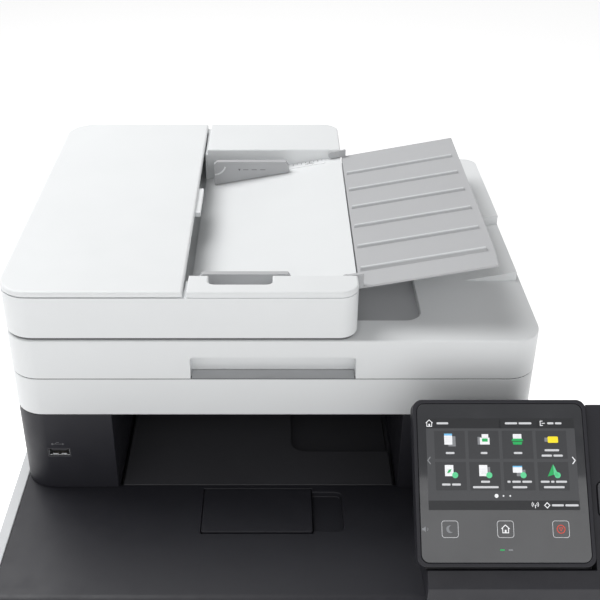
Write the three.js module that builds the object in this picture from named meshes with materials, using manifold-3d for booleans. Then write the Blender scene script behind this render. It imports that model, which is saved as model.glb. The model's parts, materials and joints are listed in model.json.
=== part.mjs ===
// A compact desktop photocopier: print engine with a paper cassette, output bay between two
// columns, flatbed reader, platen lid with a document feeder, and a tilting touch panel.
// Millimetres. +X is to the right, +Y to the back, +Z up; the origin is under the middle.
import * as THREE from 'three';
import { mergeVertices } from 'three/addons/utils/BufferGeometryUtils.js';
import Module from 'manifold-3d';

const wasm = await Module();
wasm.setup();

// Driving dimensions.
const GAP = 0.3; // between pieces that touch
const WALL = 3; // moulded plastic wall
const SHEET = 2; // steel sheet
const ARC = 5; // half the number of straight steps in a quarter round

const ENGINE = { left: -235.5, right: 190.6, front: -234.5, back: 234.5, nose: 12 };
const CORE = { left: -226.6, right: 181.7 }; // between the two side covers
const DECK = { bottom: 252, top: 261, band: 238 };
const FOOT = { height: 6, radius: 14, x: [-200, 155], y: [-205, 205] };
const PAPER_X = -35; // middle of every sheet that the engine moves
const A4_HALF = 105.3; // half an A4 sheet's width, with play

const PAN = { x: [-224, 179], y: [-228, 224] }; // sheet steel tray under the whole engine
const FRAME = { left: -200, right: 151, y: [-205, 222], top: 248 }; // two upright steel plates
const FRAME_HOLES = { y: [[-150, -60], [-20, 70], [110, 170]], z: [95, 185] };
const SIDE_GRIP = { y: [-80, 40], z: [34, 64], deep: 6, corner: 9 };
const SIDE_VENTS = { first: 60, pitch: 14, slot: 5, z: [70, 130], count: 9 };
const REAR_VENTS = { first: 120, pitch: 12, slot: 5, x: [110, 160], count: 7 };
const INLET = { x: 130, z: 52, front: 212, half: [14, 10], wall: 2 };
const USB = { x: -194.4, z: 298, half: [8.7, 3.7], wall: 0.8, deep: 17 };

const BAY = { left: -149.3, right: 79.3, back: 150 };
const SCAN = { left: -226.9, right: 182, front: -107.4, back: 229.2, corner: 24 };
const READER = { bottom: 336, top: 369.5, back: 221 };
const PLATEN_GLASS = { x: [-180, 145], y: [-75, 150] };
const STRIP_GLASS = { x: [-209, -189], y: [-75, 150] };
const CARRIAGE = { x: [-210, -188], y: [-92, 205], z: [345, 361], slot: [-80, 155] };
const CARRIAGE_ROD = { y: 185, z: 351, radius: 3 };
const LID = { bottom: 370.4, top: 404.8, inside: 395.5 };
const HANDLE = { x: [-85.7, 40.8], deep: 12.7, top: 389.9, corner: 3 };
const LID_HINGE = { y: 227.5, z: 372, radius: 5.5, pin: 2.5, middles: [-175, 130], half: 18 };

const FEEDER = { plinth: 405.1, bottom: 407.5, seam: 442.4, top: 447, right: 41.4, corner: 14.5 };
const COVER = { right: -88.8, slot: 3, bottom: 442.7, tab: 4.4, tabY: [32, 81] };
const RAIL = { front: -81.4, back: 162.3 }; // inner faces of the feeder's two rails
const SLOPE = { x: -88, z: 416, rise: 0.1852 }; // document deck, rising to the right
const DOC_Y = 38.8; // middle of a document in the feeder
const slopeAt = (x) => SLOPE.z + (x - SLOPE.x) * SLOPE.rise;
const TRAY = { left: 42.6, right: 146, y: [-80.9, 161.8], thick: 4.5, roll: 19.5, drop: 5.5 };
const TRAY_HINGE = { x: 33, above: 4, radius: 3.4, pin: 1.6 };
const TRAY_RIBS = { first: -61.4, pitch: 36, count: 6, high: 2, wide: 2.4 };

const CASSETTE = { bottom: 14.5, top: 84, left: -190, right: 143, front: -214, back: 160, rim: 72 };
const CASSETTE_FLOOR = CASSETTE.bottom + 4.5;
const CASSETTE_GRIP = { half: 60, deep: 13, z: [34, 62], corner: 6 };
const LIFT_PLATE = { half: 50, y: [-58, 150], thick: 2 };
const SIDE_GUIDE = { thick: 4, half: 90, top: 66, foot: { half: 60, reach: 22, high: 4 } };
const END_GUIDE = { y: [-151.3, -147.3], half: 25, top: 62, foot: { y: [-172, -150], half: 18, high: 4 } };
const MP_DOOR = { bottom: 87, top: 143, back: -224, grip: { half: 24, deep: 5, high: 8 } };
const FRONT_DOOR = { bottom: 146, top: 236, back: -222, grip: { half: 30, deep: 6, high: 10 } };
const REAR_DOOR = { left: -149.5, right: 79.5, bottom: 92.5, top: 235.5, corner: 6 };
const REAR_GRIP = { half: 25, deep: 5, fromTop: [4, 16] };
const REAR_FACE = 226; // inner face of the rear panel
const STOPPER = { left: -78.8, right: 8.6, front: -158.9, back: -109, bottom: 256 };
const DRAWER = { bottom: 138, top: 182, left: -190, right: 138, front: -204, back: 152 };

// Rollers between the frames, or between the bay's walls: rubber sleeve, shaft and place (y, z).
const BETWEEN_FRAMES = [-197.5, 150.5];
const ROLLERS = {
  fuser_roller: { radius: 12, span: [-150, 80], shaft: 4, ends: BETWEEN_FRAMES, at: [176, 215] },
  pressure_roller: { radius: 12, span: [-150, 80], shaft: 4, ends: BETWEEN_FRAMES, at: [200.6, 215] },
  cassette_pickup_roller: { radius: 10, span: [-60, -10], shaft: 4, ends: BETWEEN_FRAMES, at: [140, 84.5] },
  exit_roller: { radius: 7, span: [-130, 60], shaft: 3, ends: [-145.5, 75.5], at: [167, 303] },
};
const CARTRIDGE = { x: [-183, 130], first: -196, pitch: 86, long: 78, high: 50 };
const BELT = { x: [-165, 95], y: [-192, 150], z: [201, 223] };
const LASER = { x: [-182, 112], y: [-160, 120], z: [98, 134] };
const SUPPLY = { x: [155, 177], y: [-150, 60], z: [20, 118] };

// The touch panel is built flat around its display's middle, then tilted with its base.
const PANEL = { x: 144.7, y: -172.2, z: 339.5, tilt: Math.PI / 4, thick: 14 };
const PANEL_FACE = { x: [-64, 63.6], y: [-72, 47.8], corner: 7 };
const BASE = { left: 88, right: 235.5, front: -231, back: -137.5, sink: 4 };
const POWER = { x: [69, 83], y: [-37, -12], corner: 4 };

// Heights measured from the document deck's slope, turned into heights over the floor.
const ON_SLOPE = new THREE.Matrix4().set(
  1, 0, 0, 0, 0, 1, 0, 0, SLOPE.rise, 0, 1, SLOPE.z - SLOPE.x * SLOPE.rise, 0, 0, 0, 1);
const LEVEL = new THREE.Matrix4();

// Solids. Each takes an optional last matrix that places it in a turned or sheared frame.
function solid(geometry, frame) {
  geometry.applyMatrix4(frame);
  geometry.deleteAttribute('normal');
  geometry.deleteAttribute('uv');
  const merged = mergeVertices(geometry);
  return new wasm.Manifold(new wasm.Mesh({
    numProp: 3,
    vertProperties: new Float32Array(merged.attributes.position.array),
    triVerts: new Uint32Array(merged.index.array),
  }));
}

function box([x0, x1], [y0, y1], [z0, z1], frame = LEVEL) {
  const geometry = new THREE.BoxGeometry(x1 - x0, y1 - y0, z1 - z0);
  return solid(geometry.translate((x0 + x1) / 2, (y0 + y1) / 2, (z0 + z1) / 2), frame);
}

// A rod along 'x', 'y' or 'z' from and to the ends given, through the point (a, b) of the
// two other axes in their usual order.
function rod(axis, radius, [from, to], [a, b], sides = 24) {
  const geometry = new THREE.CylinderGeometry(radius, radius, to - from, sides);
  const middle = (from + to) / 2;
  if (axis === 'x') return solid(geometry.rotateZ(Math.PI / 2).translate(middle, a, b), LEVEL);
  if (axis === 'y') return solid(geometry.translate(a, middle, b), LEVEL);
  return solid(geometry.rotateX(Math.PI / 2).translate(a, b, middle), LEVEL);
}

function rounded([x0, x1], [y0, y1], [r00, r10, r11, r01]) {
  const outline = new THREE.Shape();
  const corners = [[x0 + r00, y0 + r00, r00, 2], [x1 - r10, y0 + r10, r10, 3],
    [x1 - r11, y1 - r11, r11, 0], [x0 + r01, y1 - r01, r01, 1]];
  const points = [];
  for (const [x, y, radius, quarter] of corners) {
    const steps = radius > 0 ? 2 * ARC : 0;
    for (let i = 0; i <= steps; i += 1) {
      const angle = (quarter + (steps ? i / steps : 0)) * Math.PI / 2;
      points.push(new THREE.Vector2(x + radius * Math.cos(angle), y + radius * Math.sin(angle)));
    }
  }
  return outline.setFromPoints(points);
}

function extrude(shape, depth) {
  return new THREE.ExtrudeGeometry(shape, { depth, bevelEnabled: false, curveSegments: ARC });
}

// A plate with rounded upright edges; radii run front left, front right, back right, back left.
function plate(x, y, [z0, z1], radii, frame = LEVEL) {
  return solid(extrude(rounded(x, y, radii), z1 - z0).translate(0, 0, z0), frame);
}

// A plate that stands across Y, with corners rounded in X and Z.
function upright(x, [y0, y1], z, radii) {
  const turn = new THREE.Matrix4().makeRotationX(Math.PI / 2);
  return solid(extrude(rounded(x, z, radii), y1 - y0).applyMatrix4(turn).translate(0, y1, 0), LEVEL);
}

const shapeOf = (points) => new THREE.Shape(points.map(([a, b]) => new THREE.Vector2(a, b)));

// A prism along X whose outline lies in Y and Z.
function prismX(shape, [x0, x1], frame = LEVEL) {
  const turn = new THREE.Matrix4().makeBasis(
    new THREE.Vector3(0, 1, 0), new THREE.Vector3(0, 0, 1), new THREE.Vector3(1, 0, 0));
  return solid(extrude(shape, x1 - x0).applyMatrix4(turn).translate(x0, 0, 0), frame);
}

// A prism along Y whose outline lies in X and Z.
function prismY(shape, [y0, y1], frame = LEVEL) {
  const turn = new THREE.Matrix4().makeRotationX(Math.PI / 2);
  return solid(extrude(shape, y1 - y0).applyMatrix4(turn).translate(0, y1, 0), frame);
}

const shrink = ([low, high], by) => [low + by, high - by];
const around = (middle, half) => [middle - half, middle + half];
const cut = (shape, ...tools) => tools.reduce((rest, tool) => rest.subtract(tool), shape);
const join = (shape, ...others) => others.reduce((all, other) => all.add(other), shape);

// Finishes.
const finish = (color, roughness, metalness = 0, opacity = 1) => new THREE.MeshStandardMaterial({
  color, roughness, metalness, opacity, transparent: opacity < 1,
});
const white = () => finish(0xeceded, 0.5);
const sideGrey = () => finish(0xd2d4d6, 0.5);
const black = () => finish(0x2a2b31, 0.55);
const darkGrey = () => finish(0x3c3d42, 0.6);
const trayGrey = () => finish(0xc4c5c8, 0.5);
const softWhite = () => finish(0xf4f4f2, 0.8);
const steel = () => finish(0xb4b7ba, 0.35, 1);
const rubber = () => finish(0x1c1c1e, 0.85);
const clearGlass = () => finish(0xbfd0d4, 0.05, 0, 0.35);
const panelGlass = () => finish(0x2c3038, 0.12);
const brown = () => finish(0x5a3d22, 0.5);

const copier = new THREE.Group();

function piece(name, shape, material, parent = copier) {
  const { vertProperties, triVerts } = shape.getMesh();
  const geometry = new THREE.BufferGeometry();
  geometry.setAttribute('position', new THREE.BufferAttribute(vertProperties, 3));
  geometry.setIndex(new THREE.BufferAttribute(triVerts, 1));
  geometry.computeVertexNormals();
  const mesh = new THREE.Mesh(geometry, material);
  mesh.name = name;
  parent.add(mesh);
  return mesh;
}

// Feet, base and steel frame.
function feet() {
  for (const [side, x] of [['left', FOOT.x[0]], ['right', FOOT.x[1]]]) {
    for (const [end, y] of [['front', FOOT.y[0]], ['back', FOOT.y[1]]]) {
      piece(`foot_${end}_${side}`, rod('z', FOOT.radius, [0, FOOT.height], [x, y]), rubber());
    }
  }
}

function basePan() {
  const top = CASSETTE.bottom - 2 * GAP;
  const floor = FOOT.height + GAP;
  const pan = box(PAN.x, PAN.y, [floor, top]);
  const inside = box(shrink(PAN.x, SHEET), shrink(PAN.y, SHEET), [floor + SHEET, top + 1]);
  piece('base_pan', cut(pan, inside), steel());
}

function sideFrame(name, x0) {
  const x = [x0, x0 + SHEET];
  const holes = FRAME_HOLES.y.map((y) => box(shrink(x, -1), y, FRAME_HOLES.z));
  piece(name, cut(box(x, FRAME.y, [CASSETTE.bottom, FRAME.top]), ...holes), steel());
}

// Outer covers.
function sideCover(name, x, vents) {
  const { front, back, nose } = ENGINE;
  const outline = rounded([front, back], [12, DECK.top], [4, 4, 6, nose]);
  const slots = [];
  for (let i = 0; i < vents; i += 1) {
    const y = SIDE_VENTS.first + i * SIDE_VENTS.pitch;
    slots.push(box(shrink(x, -1), [y, y + SIDE_VENTS.slot], SIDE_VENTS.z));
  }
  const outer = x[0] < 0 ? x[0] : x[1];
  const grip = prismX(rounded(SIDE_GRIP.y, SIDE_GRIP.z, Array(4).fill(SIDE_GRIP.corner)),
    around(outer, SIDE_GRIP.deep));
  piece(name, cut(prismX(outline, x), grip, ...slots), sideGrey());
}

function rearPanel() {
  const panel = box([CORE.left, CORE.right], [REAR_FACE, ENGINE.back], [CASSETTE.bottom, DECK.bottom - GAP]);
  const through = [REAR_FACE - 1, ENGINE.back + 1];
  const doorway = box([REAR_DOOR.left - 0.5, REAR_DOOR.right + 0.5], through, [91.2, REAR_DOOR.top + 0.5]);
  const [wide, high] = INLET.half;
  const inlet = box(around(INLET.x, wide + GAP), through, around(INLET.z, high + GAP));
  const vents = [];
  for (let i = 0; i < REAR_VENTS.count; i += 1) {
    const z = REAR_VENTS.first + i * REAR_VENTS.pitch;
    vents.push(box(REAR_VENTS.x, through, [z, z + REAR_VENTS.slot]));
  }
  piece('rear_panel', cut(panel, doorway, inlet, ...vents), white());
}

function powerInlet() {
  const { x, z, front, half, wall } = INLET;
  const body = box(around(x, half[0]), [front, ENGINE.back - 1], around(z, half[1]));
  const socket = box(around(x, half[0] - wall), [front + 3, ENGINE.back], around(z, half[1] - wall));
  piece('power_inlet', cut(body, socket), black());
}

function rearCover() {
  const door = upright([REAR_DOOR.left, REAR_DOOR.right], [REAR_FACE + GAP, ENGINE.back],
    [REAR_DOOR.bottom, REAR_DOOR.top], [1, 1, REAR_DOOR.corner, REAR_DOOR.corner]);
  const middle = (REAR_DOOR.left + REAR_DOOR.right) / 2;
  const [high, low] = REAR_GRIP.fromTop;
  const grip = box(around(middle, REAR_GRIP.half), [ENGINE.back - REAR_GRIP.deep, ENGINE.back + 1],
    [REAR_DOOR.top - low, REAR_DOOR.top - high]);
  piece('rear_cover', cut(door, grip), white());
}

// The black deck, with a rounded front edge, a way down for the output tray, a pocket for
// the paper stopper and a finger hollow beside it.
function topCover() {
  const { front, back, nose } = ENGINE;
  const outline = rounded([front, back - GAP], [DECK.band, DECK.top], [2, 2, 2, nose]);
  const under = box([CORE.left - 1, CORE.right + 1], [FRONT_DOOR.back, 240], [230, DECK.bottom]);
  const trayWay = box([-149, 79], [-104.2, BAY.back], [240, 270]);
  const paperWay = box([-130, 60], [BAY.back + 10, 215], [240, 270]);
  const { left, right, bottom } = STOPPER;
  const pocket = box([left - 0.4, right + 0.4], [STOPPER.front - 1.6, STOPPER.back + GAP], [bottom - 1, 270]);
  const hollow = plate([right + 0.2, 33], [-158, -113], [bottom, 270], [0, 5, 5, 0]);
  const shape = cut(prismX(outline, [CORE.left, CORE.right]), under, trayWay, paperWay, pocket, hollow);
  piece('top_cover', shape, black());
}

function outputStopper() {
  const { left, right, front, back, bottom } = STOPPER;
  piece('output_stopper', plate([left, right], [front, back], [bottom, DECK.top], [2, 2, 3, 3]), black());
}

function outputTray() {
  const top = box([-146, 76], [-103.9, BAY.back - GAP], [248.5, DECK.top]);
  const flange = box([-156, 86], [-110, BAY.back + 6], [248.5, DECK.bottom - GAP]);
  const well = plate([-7, 80], [-60.5, 160], [DECK.bottom + 1, 270], [12, 0, 0, 0]);
  piece('output_tray', cut(join(top, flange), well), darkGrey());
}

// Columns and exit housing that carry the reader over the output bay.
function column(name, x, radii) {
  const z = [DECK.top + GAP, READER.bottom - GAP];
  const shell = plate(x, [SCAN.front, SCAN.back], z, radii);
  const inside = plate(shrink(x, WALL + 4), [SCAN.front + WALL, SCAN.back - WALL], [z[0] - 1, z[1] - WALL],
    radii.map((radius) => Math.max(radius - WALL, 0)));
  const [wide, high] = USB.half;
  const port = box(around(USB.x, wide + GAP), [SCAN.front - 1, SCAN.front + 6], around(USB.z, high + GAP));
  piece(name, cut(shell, inside, port), black());
}

function usbPort() {
  const { x, z, half: [wide, high], wall, deep } = USB;
  const front = SCAN.front + 1;
  const body = box(around(x, wide), [front, front + deep], around(z, high));
  const socket = box(around(x, wide - wall), [front - 1, front + deep - 3], around(z, high - wall));
  piece('usb_port', cut(body, socket), steel());
}

function exitHousing() {
  const z = [DECK.top + GAP, READER.bottom - GAP];
  const shell = box([BAY.left + GAP, BAY.right - GAP], [BAY.back, 229], z);
  const inside = box([-146, 76], [BAY.back + WALL, 226], [250, z[1] - WALL]);
  const slot = box([-140, 70], [BAY.back - 1, BAY.back + 5], [296, 312]);
  piece('exit_housing', cut(shell, inside, slot), black());
}

// Reader with its two glasses and the scanning carriage.

function readerCase() {
  const r = SCAN.corner;
  const shell = plate([SCAN.left, SCAN.right], [SCAN.front, READER.back], [READER.bottom, READER.top],
    [r, r, 8, 8]);
  const inside = plate([SCAN.left + WALL, SCAN.right - WALL], [SCAN.front + WALL, READER.back - WALL],
    [READER.bottom + WALL, READER.top - WALL - 1], [r - WALL, r - WALL, 5, 5]);
  const openings = [PLATEN_GLASS, STRIP_GLASS].flatMap(({ x, y }) => [
    box(x, y, [READER.top - 2.6, 380]), box(shrink(x, 4), shrink(y, 4), [360, 380])]);
  piece('reader_case', cut(shell, inside, ...openings), white());
}

function glass(name, { x, y }) {
  const z = [READER.top - 2.3, READER.top - GAP];
  piece(name, box(shrink(x, GAP), shrink(y, GAP), z), clearGlass());
}

function scanCarriage() {
  const { y, z, radius } = CARRIAGE_ROD;
  const bar = plate(CARRIAGE.x, CARRIAGE.y, CARRIAGE.z, [3, 3, 3, 3]);
  const slot = box(shrink(CARRIAGE.x, 7), CARRIAGE.slot, [CARRIAGE.z[1] - 3, CARRIAGE.z[1] + 1]);
  piece('scan_carriage', cut(bar, slot, rod('x', radius + 0.4, [-220, -180], [y, z])), black());
  piece('carriage_rod', rod('x', radius, [-223.5, 178.5], [y, z], 16), steel());
}

// Lid over the platen: a hollow shell with a front handle, a hollow and two stepped ramps on
// top where documents come out, and hinge pins at the back.
function platenCover() {
  const r = SCAN.corner;
  const x = [SCAN.left, SCAN.right];
  const shell = plate(x, [SCAN.front, SCAN.back], [LID.bottom, LID.top], [r, r, r, r]);
  const inside = box(shrink(x, 9), [SCAN.front + HANDLE.deep + WALL, 212], [LID.bottom - 1, LID.inside]);
  const handle = upright(HANDLE.x, [SCAN.front - 1, SCAN.front + HANDLE.deep], [LID.bottom - 1, HANDLE.top],
    [0, 0, HANDLE.corner, HANDLE.corner]);
  const hollow = plate([25, 93.6], [-78.3, 160], [LID.top - 6, 420], [0, 14, 14, 0]);
  const ramps = [[-16, 110, 8], [72.5, 208, 16]].map(([y0, y1, rise]) => prismY(shapeOf([
    [178 - rise / SLOPE.rise, LID.top - 1], [178, LID.top - 1], [178, LID.top + rise],
    [178 - rise / SLOPE.rise, LID.top]]), [y0, y1]));
  const corner = cut(box([150, 185], [180, 215], [405, 440]), rod('z', 20, [400, 450], [158, 188], 40),
    box([140, 158], [170, 220], [400, 450]), box([140, 190], [170, 188], [400, 450]));
  const notches = [];
  const pins = [];
  for (const middle of LID_HINGE.middles) {
    const span = [middle - LID_HINGE.half, middle + LID_HINGE.half];
    notches.push(box(span, [217, 240], [LID.bottom - 1, 381.5]));
    pins.push(rod('x', LID_HINGE.pin, [span[0] - 2, span[1] + 2], [LID_HINGE.y, LID_HINGE.z]));
  }
  const lid = join(cut(shell, inside, handle, hollow), ...ramps);
  piece('platen_cover', join(cut(lid, corner, ...notches), ...pins), white());
}

function platenPad() {
  piece('platen_pad', box([-217.5, 172.5], [-91, 211.5], [LID.bottom + 0.3, LID.bottom + 3]), softWhite());
}

function lidHinge(name, middle) {
  const { y, z, radius, pin } = LID_HINGE;
  const foot = box([middle - 15, middle + 15], [READER.back + GAP, 234], [340, 364]);
  const neck = box([middle - 15, middle + 15], [y - 4, y + 4], [350, z]);
  const knuckle = rod('x', radius, [middle - 15, middle + 15], [y, z]);
  const bore = rod('x', pin + 0.3, [middle - 20, middle + 20], [y, z]);
  piece(name, cut(join(foot, neck, knuckle), bore), steel());
}

// Document feeder.
function feederHousing() {
  const { corner } = SCAN;
  const radii = [corner, FEEDER.corner, FEEDER.corner, corner];
  const x = [SCAN.left, FEEDER.right];
  const y = [SCAN.front, SCAN.back];
  const body = plate(x, y, [FEEDER.bottom, FEEDER.top], radii);
  const inset = 8;
  const plinth = plate(shrink(x, inset), shrink(y, inset), [FEEDER.plinth, FEEDER.bottom + 1],
    radii.map((r) => r - inset));
  const seamHeight = [FEEDER.seam - 0.6, FEEDER.seam + 0.3];
  const lidSeat = box([x[0] - 1, COVER.right + COVER.slot], [y[0] - 1, y[1] + 1], [seamHeight[0], 460]);
  const hingeRelief = box([x[0] - 1, x[0] + 6], [y[0] - 1, y[1] + 1], [FEEDER.seam - 1, 460]);
  const seam = cut(plate([x[0], x[1] + 1], [y[0] - 1, y[1] + 1], seamHeight, [0, 15, 15, 0]),
    plate([-300, x[1] - 1], shrink(y, 1), [440, 445], [0, FEEDER.corner - 1, FEEDER.corner - 1, 0]));
  const well = box([-217, SLOPE.x], [-96, 216], [412, 460]);
  const deck = box([SLOPE.x - 1, 60], [RAIL.front, RAIL.back], [0, 60], ON_SLOPE);
  const underDeck = prismY(shapeOf([[-80, 400], [FEEDER.right - 4, 400],
    [FEEDER.right - 4, slopeAt(FEEDER.right - 4) - 4], [-80, slopeAt(-80) - 4]]), [-78, 159]);
  const underRail = box([-80, FEEDER.right - 4], [RAIL.back + 6, y[1] - 5], [400, FEEDER.top - 4]);
  const notch = plate([-70.7, -22.7], [-94.5, RAIL.front + 5], [0, 60], [5, 5, 0, 0], ON_SLOPE);
  const pinHoles = [[RAIL.front - 4, RAIL.front + 1], [RAIL.back - 1, RAIL.back + 4]].map((span) => (
    rod('y', TRAY_HINGE.pin + 0.3, span, [TRAY_HINGE.x, slopeAt(TRAY_HINGE.x) + TRAY_HINGE.above], 20)));
  piece('feeder_housing', cut(join(body, plinth), lidSeat, hingeRelief, seam, well, deck, underDeck,
    underRail, notch, ...pinHoles), white());
}

function feederCover() {
  const { corner } = SCAN;
  const y = [SCAN.front, SCAN.back];
  const top = plate([SCAN.left, COVER.right], y, [COVER.bottom, FEEDER.top], [corner, 0, 0, corner]);
  const inner = box([-212, COVER.right - 3], [-90, 210], [438.5, COVER.bottom + 1]);
  const clear = box([-200, COVER.right - 9], [-78, 198], [437, COVER.bottom + 1]);
  const tab = plate([COVER.right - 3, COVER.right + COVER.tab], COVER.tabY,
    [COVER.bottom - 3.1, COVER.bottom + 1], [0, 0, 0, 0]);
  piece('feeder_cover', join(top, cut(inner, clear), tab), white());
}

function feederRoller(name, x, z, radius, length) {
  const shaft = rod('y', 3, [-95.5, 215.5], [x, z], 12);
  const tyre = rod('y', radius, [DOC_Y - length / 2, DOC_Y + length / 2], [x, z], 28);
  piece(name, join(shaft, tyre), rubber());
}

// A leaf whose front strip rolls down, with ribs that keep the sheets apart from it, hung on
// two arms with pins in the feeder's rails.
function documentTray() {
  const { left, right, y, thick, roll, drop } = TRAY;
  const bend = y[0] + roll;
  const section = shapeOf([[y[0], -drop], [y[0] + 4, -drop - 0.4], [bend, -thick], [y[1], -thick], [y[1], 0],
    [bend + 3, 0], [bend - 1, -0.4], [y[0] + 4, -drop + 2.2], [y[0] + 0.6, -drop + 1.2]]);
  const leaf = prismX(section, [left, right], ON_SLOPE);
  const ribs = [];
  for (let i = 0; i < TRAY_RIBS.count; i += 1) {
    const middle = TRAY_RIBS.first + i * TRAY_RIBS.pitch;
    const { high, wide } = TRAY_RIBS;
    const ridge = shapeOf([[middle - wide, -1], [middle + wide, -1], [middle + wide / 2, high * 0.7],
      [middle, high], [middle - wide / 2, high * 0.7]]);
    ribs.push(prismX(ridge, [left + 2, right - 6], ON_SLOPE));
  }
  const { x, above, radius, pin } = TRAY_HINGE;
  const z = slopeAt(x) + above;
  const arms = [[y[0], y[0] + 3, -1], [y[1] - 3, y[1], 1]].map(([y0, y1, out]) => join(
    rod('y', radius, [y0, y1], [x, z]),
    box([x, left + 3.5], [y0, y1], [above - radius, above + radius - 0.4], ON_SLOPE),
    box([left, left + 3.5], [y0, y1], [-drop + 1, above], ON_SLOPE),
    rod('y', pin, out < 0 ? [y0 - 3, y0 + 1] : [y1 - 1, y1 + 3], [x, z], 20)));
  piece('document_tray', join(leaf, ...ribs, ...arms), trayGrey());
}

// Width guide: an upright wall on a foot that slides over the document deck; `out` points
// away from the document.
function widthGuide(name, inner, out) {
  const x = [-79, -9];
  const top = 442;
  const span = (a, b) => [inner + out * a, inner + out * b].sort((low, high) => low - high);
  const wall = prismY(shapeOf([[x[0], slopeAt(x[0]) + 0.5], [x[1], slopeAt(x[1]) + 0.5], [x[1] + 1, top - 5],
    [x[1] - 2, top], [x[0] + 3, top], [x[0], top - 3]]), span(0, 5));
  const foot = box(x, span(4, 11.5), [0.5, 3.5], ON_SLOPE);
  piece(name, join(wall, foot), trayGrey());
}

// Touch panel: its own group, flat around the display's middle, tilted back.
function touchPanel() {
  const tilted = new THREE.Group();
  tilted.position.set(PANEL.x, PANEL.y, PANEL.z);
  tilted.rotation.x = PANEL.tilt;
  copier.add(tilted);
  const { x, y, corner } = PANEL_FACE;
  const housing = plate(x, y, [-PANEL.thick, 0], [corner, corner, corner, corner]);
  const seat = plate(shrink(x, 2.7), shrink(y, 2.7), [-2.2, 1], [6, 6, 6, 6]);
  piece('panel_housing', cut(housing, seat), black(), tilted);
  const pane = plate(shrink(x, 3), shrink(y, 3), [-1.9, -0.2], [5.7, 5.7, 5.7, 5.7]);
  piece('touch_glass', pane, panelGlass(), tilted);
  const button = plate(POWER.x, POWER.y, [-9, -BASE.sink + 1.2], Array(4).fill(POWER.corner));
  piece('power_button', button, darkGrey(), tilted);
}

// The base is a wedge whose top lies just under the panel's face, with a pocket for the panel.
function panelBase() {
  const faceAt = (y, sink) => PANEL.z + (y - PANEL.y) - sink * Math.SQRT2;
  const { front, back, sink } = BASE;
  const wedge = prismX(shapeOf([[front, DECK.top + GAP], [back, DECK.top + GAP], [back, faceAt(back, sink)],
    [front, faceAt(front, sink)]]), [BASE.left, BASE.right]);
  const skin = 20;
  const low = PANEL.y + (DECK.top - PANEL.z) + skin * Math.SQRT2;
  const inner = back - WALL;
  const inside = prismX(shapeOf([[low, DECK.top], [inner, DECK.top], [inner, faceAt(inner, skin)]]),
    [BASE.left + WALL, BASE.right - WALL]);
  const tilted = new THREE.Matrix4().makeRotationX(PANEL.tilt).setPosition(PANEL.x, PANEL.y, PANEL.z);
  const across = [PANEL_FACE.x[0] - 10, PANEL_FACE.x[1] + 0.8];
  const pocket = box(across, [PANEL_FACE.y[0] - 2, 70], [-PANEL.thick - 1, 20], tilted);
  const swing = box(across, [28, 70], [-PANEL.thick - 5, 20], tilted);
  const keyHole = plate(shrink(POWER.x, -0.4), shrink(POWER.y, -0.4), [-12, 10],
    Array(4).fill(POWER.corner + 0.4), tilted);
  piece('panel_base', cut(wedge, inside, pocket, swing, keyHole), black());
}

// Doors at the front: each a slab across the engine with a finger grip in its top edge.
function frontDoor(name, { bottom, top, back, grip }) {
  const slab = prismX(rounded([ENGINE.front, back], [bottom, top], [2, 1, 1, 2]), [CORE.left, CORE.right]);
  const fingers = box(around(PAPER_X, grip.half), [ENGINE.front - 1, ENGINE.front + grip.deep],
    [top - grip.high, top + 1]);
  piece(name, cut(slab, fingers), white());
}

// Paper cassette: front panel, tray, lifting plate and three sliding guides.

function cassetteBox() {
  const { bottom, top, left, right, back, rim } = CASSETTE;
  const front = prismX(rounded([ENGINE.front, CASSETTE.front - GAP], [bottom, top], [3, 1, 1, 3]),
    [CORE.left, CORE.right]);
  const { half, deep, z, corner } = CASSETTE_GRIP;
  const depth = [ENGINE.front - 1, ENGINE.front + deep];
  const grip = upright(around(PAPER_X, half), depth, z, Array(4).fill(corner));
  piece('cassette_front', cut(front, grip), white());
  const x = [left, right];
  const y = [CASSETTE.front, back];
  const tray = box(x, y, [bottom + 1.5, rim]);
  piece('cassette_tray', cut(tray, box(shrink(x, 4), shrink(y, 4), [CASSETTE_FLOOR, rim + 1])), darkGrey());
}

function cassetteInside() {
  const floor = CASSETTE_FLOOR + GAP;
  const plateBottom = floor + 1;
  piece('cassette_lift_plate', box(around(PAPER_X, LIFT_PLATE.half), LIFT_PLATE.y,
    [plateBottom, plateBottom + LIFT_PLATE.thick]), steel());
  const { thick, half, top, foot } = SIDE_GUIDE;
  for (const [name, out] of [['cassette_left_guide', -1], ['cassette_right_guide', 1]]) {
    const span = (a, b) => [a, b].map((d) => PAPER_X + out * (A4_HALF + d)).sort((low, high) => low - high);
    piece(name, join(box(span(0, thick), around(0, half), [floor, top]),
      box(span(thick - 1, foot.reach), around(0, foot.half), [floor, floor + foot.high])), darkGrey());
  }
  const wall = box(around(PAPER_X, END_GUIDE.half), END_GUIDE.y, [floor, END_GUIDE.top]);
  const slide = END_GUIDE.foot;
  piece('cassette_end_guide', join(wall,
    box(around(PAPER_X, slide.half), slide.y, [floor, floor + slide.high])), darkGrey());
}

// What the engine holds: laser unit, toner cartridges in their drawer, transfer belt, rollers
// and power supply.
function laserUnit() {
  const [y0, y1] = LASER.y;
  const [z0, z1] = LASER.z;
  const outline = shapeOf([[y0, z0], [y1, z0], [y1, z1 - 10], [y1 - 20, z1], [y0 + 20, z1], [y0, z1 - 10]]);
  piece('laser_unit', prismX(outline, LASER.x), black());
}

function tonerDrawer() {
  const x = [DRAWER.left, DRAWER.right];
  const y = [DRAWER.front, DRAWER.back];
  const tray = box(x, y, [DRAWER.bottom, DRAWER.top]);
  const inside = box(shrink(x, WALL), shrink(y, WALL), [DRAWER.bottom + WALL, DRAWER.top + 1]);
  piece('toner_drawer', cut(tray, inside), darkGrey());
}

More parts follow.
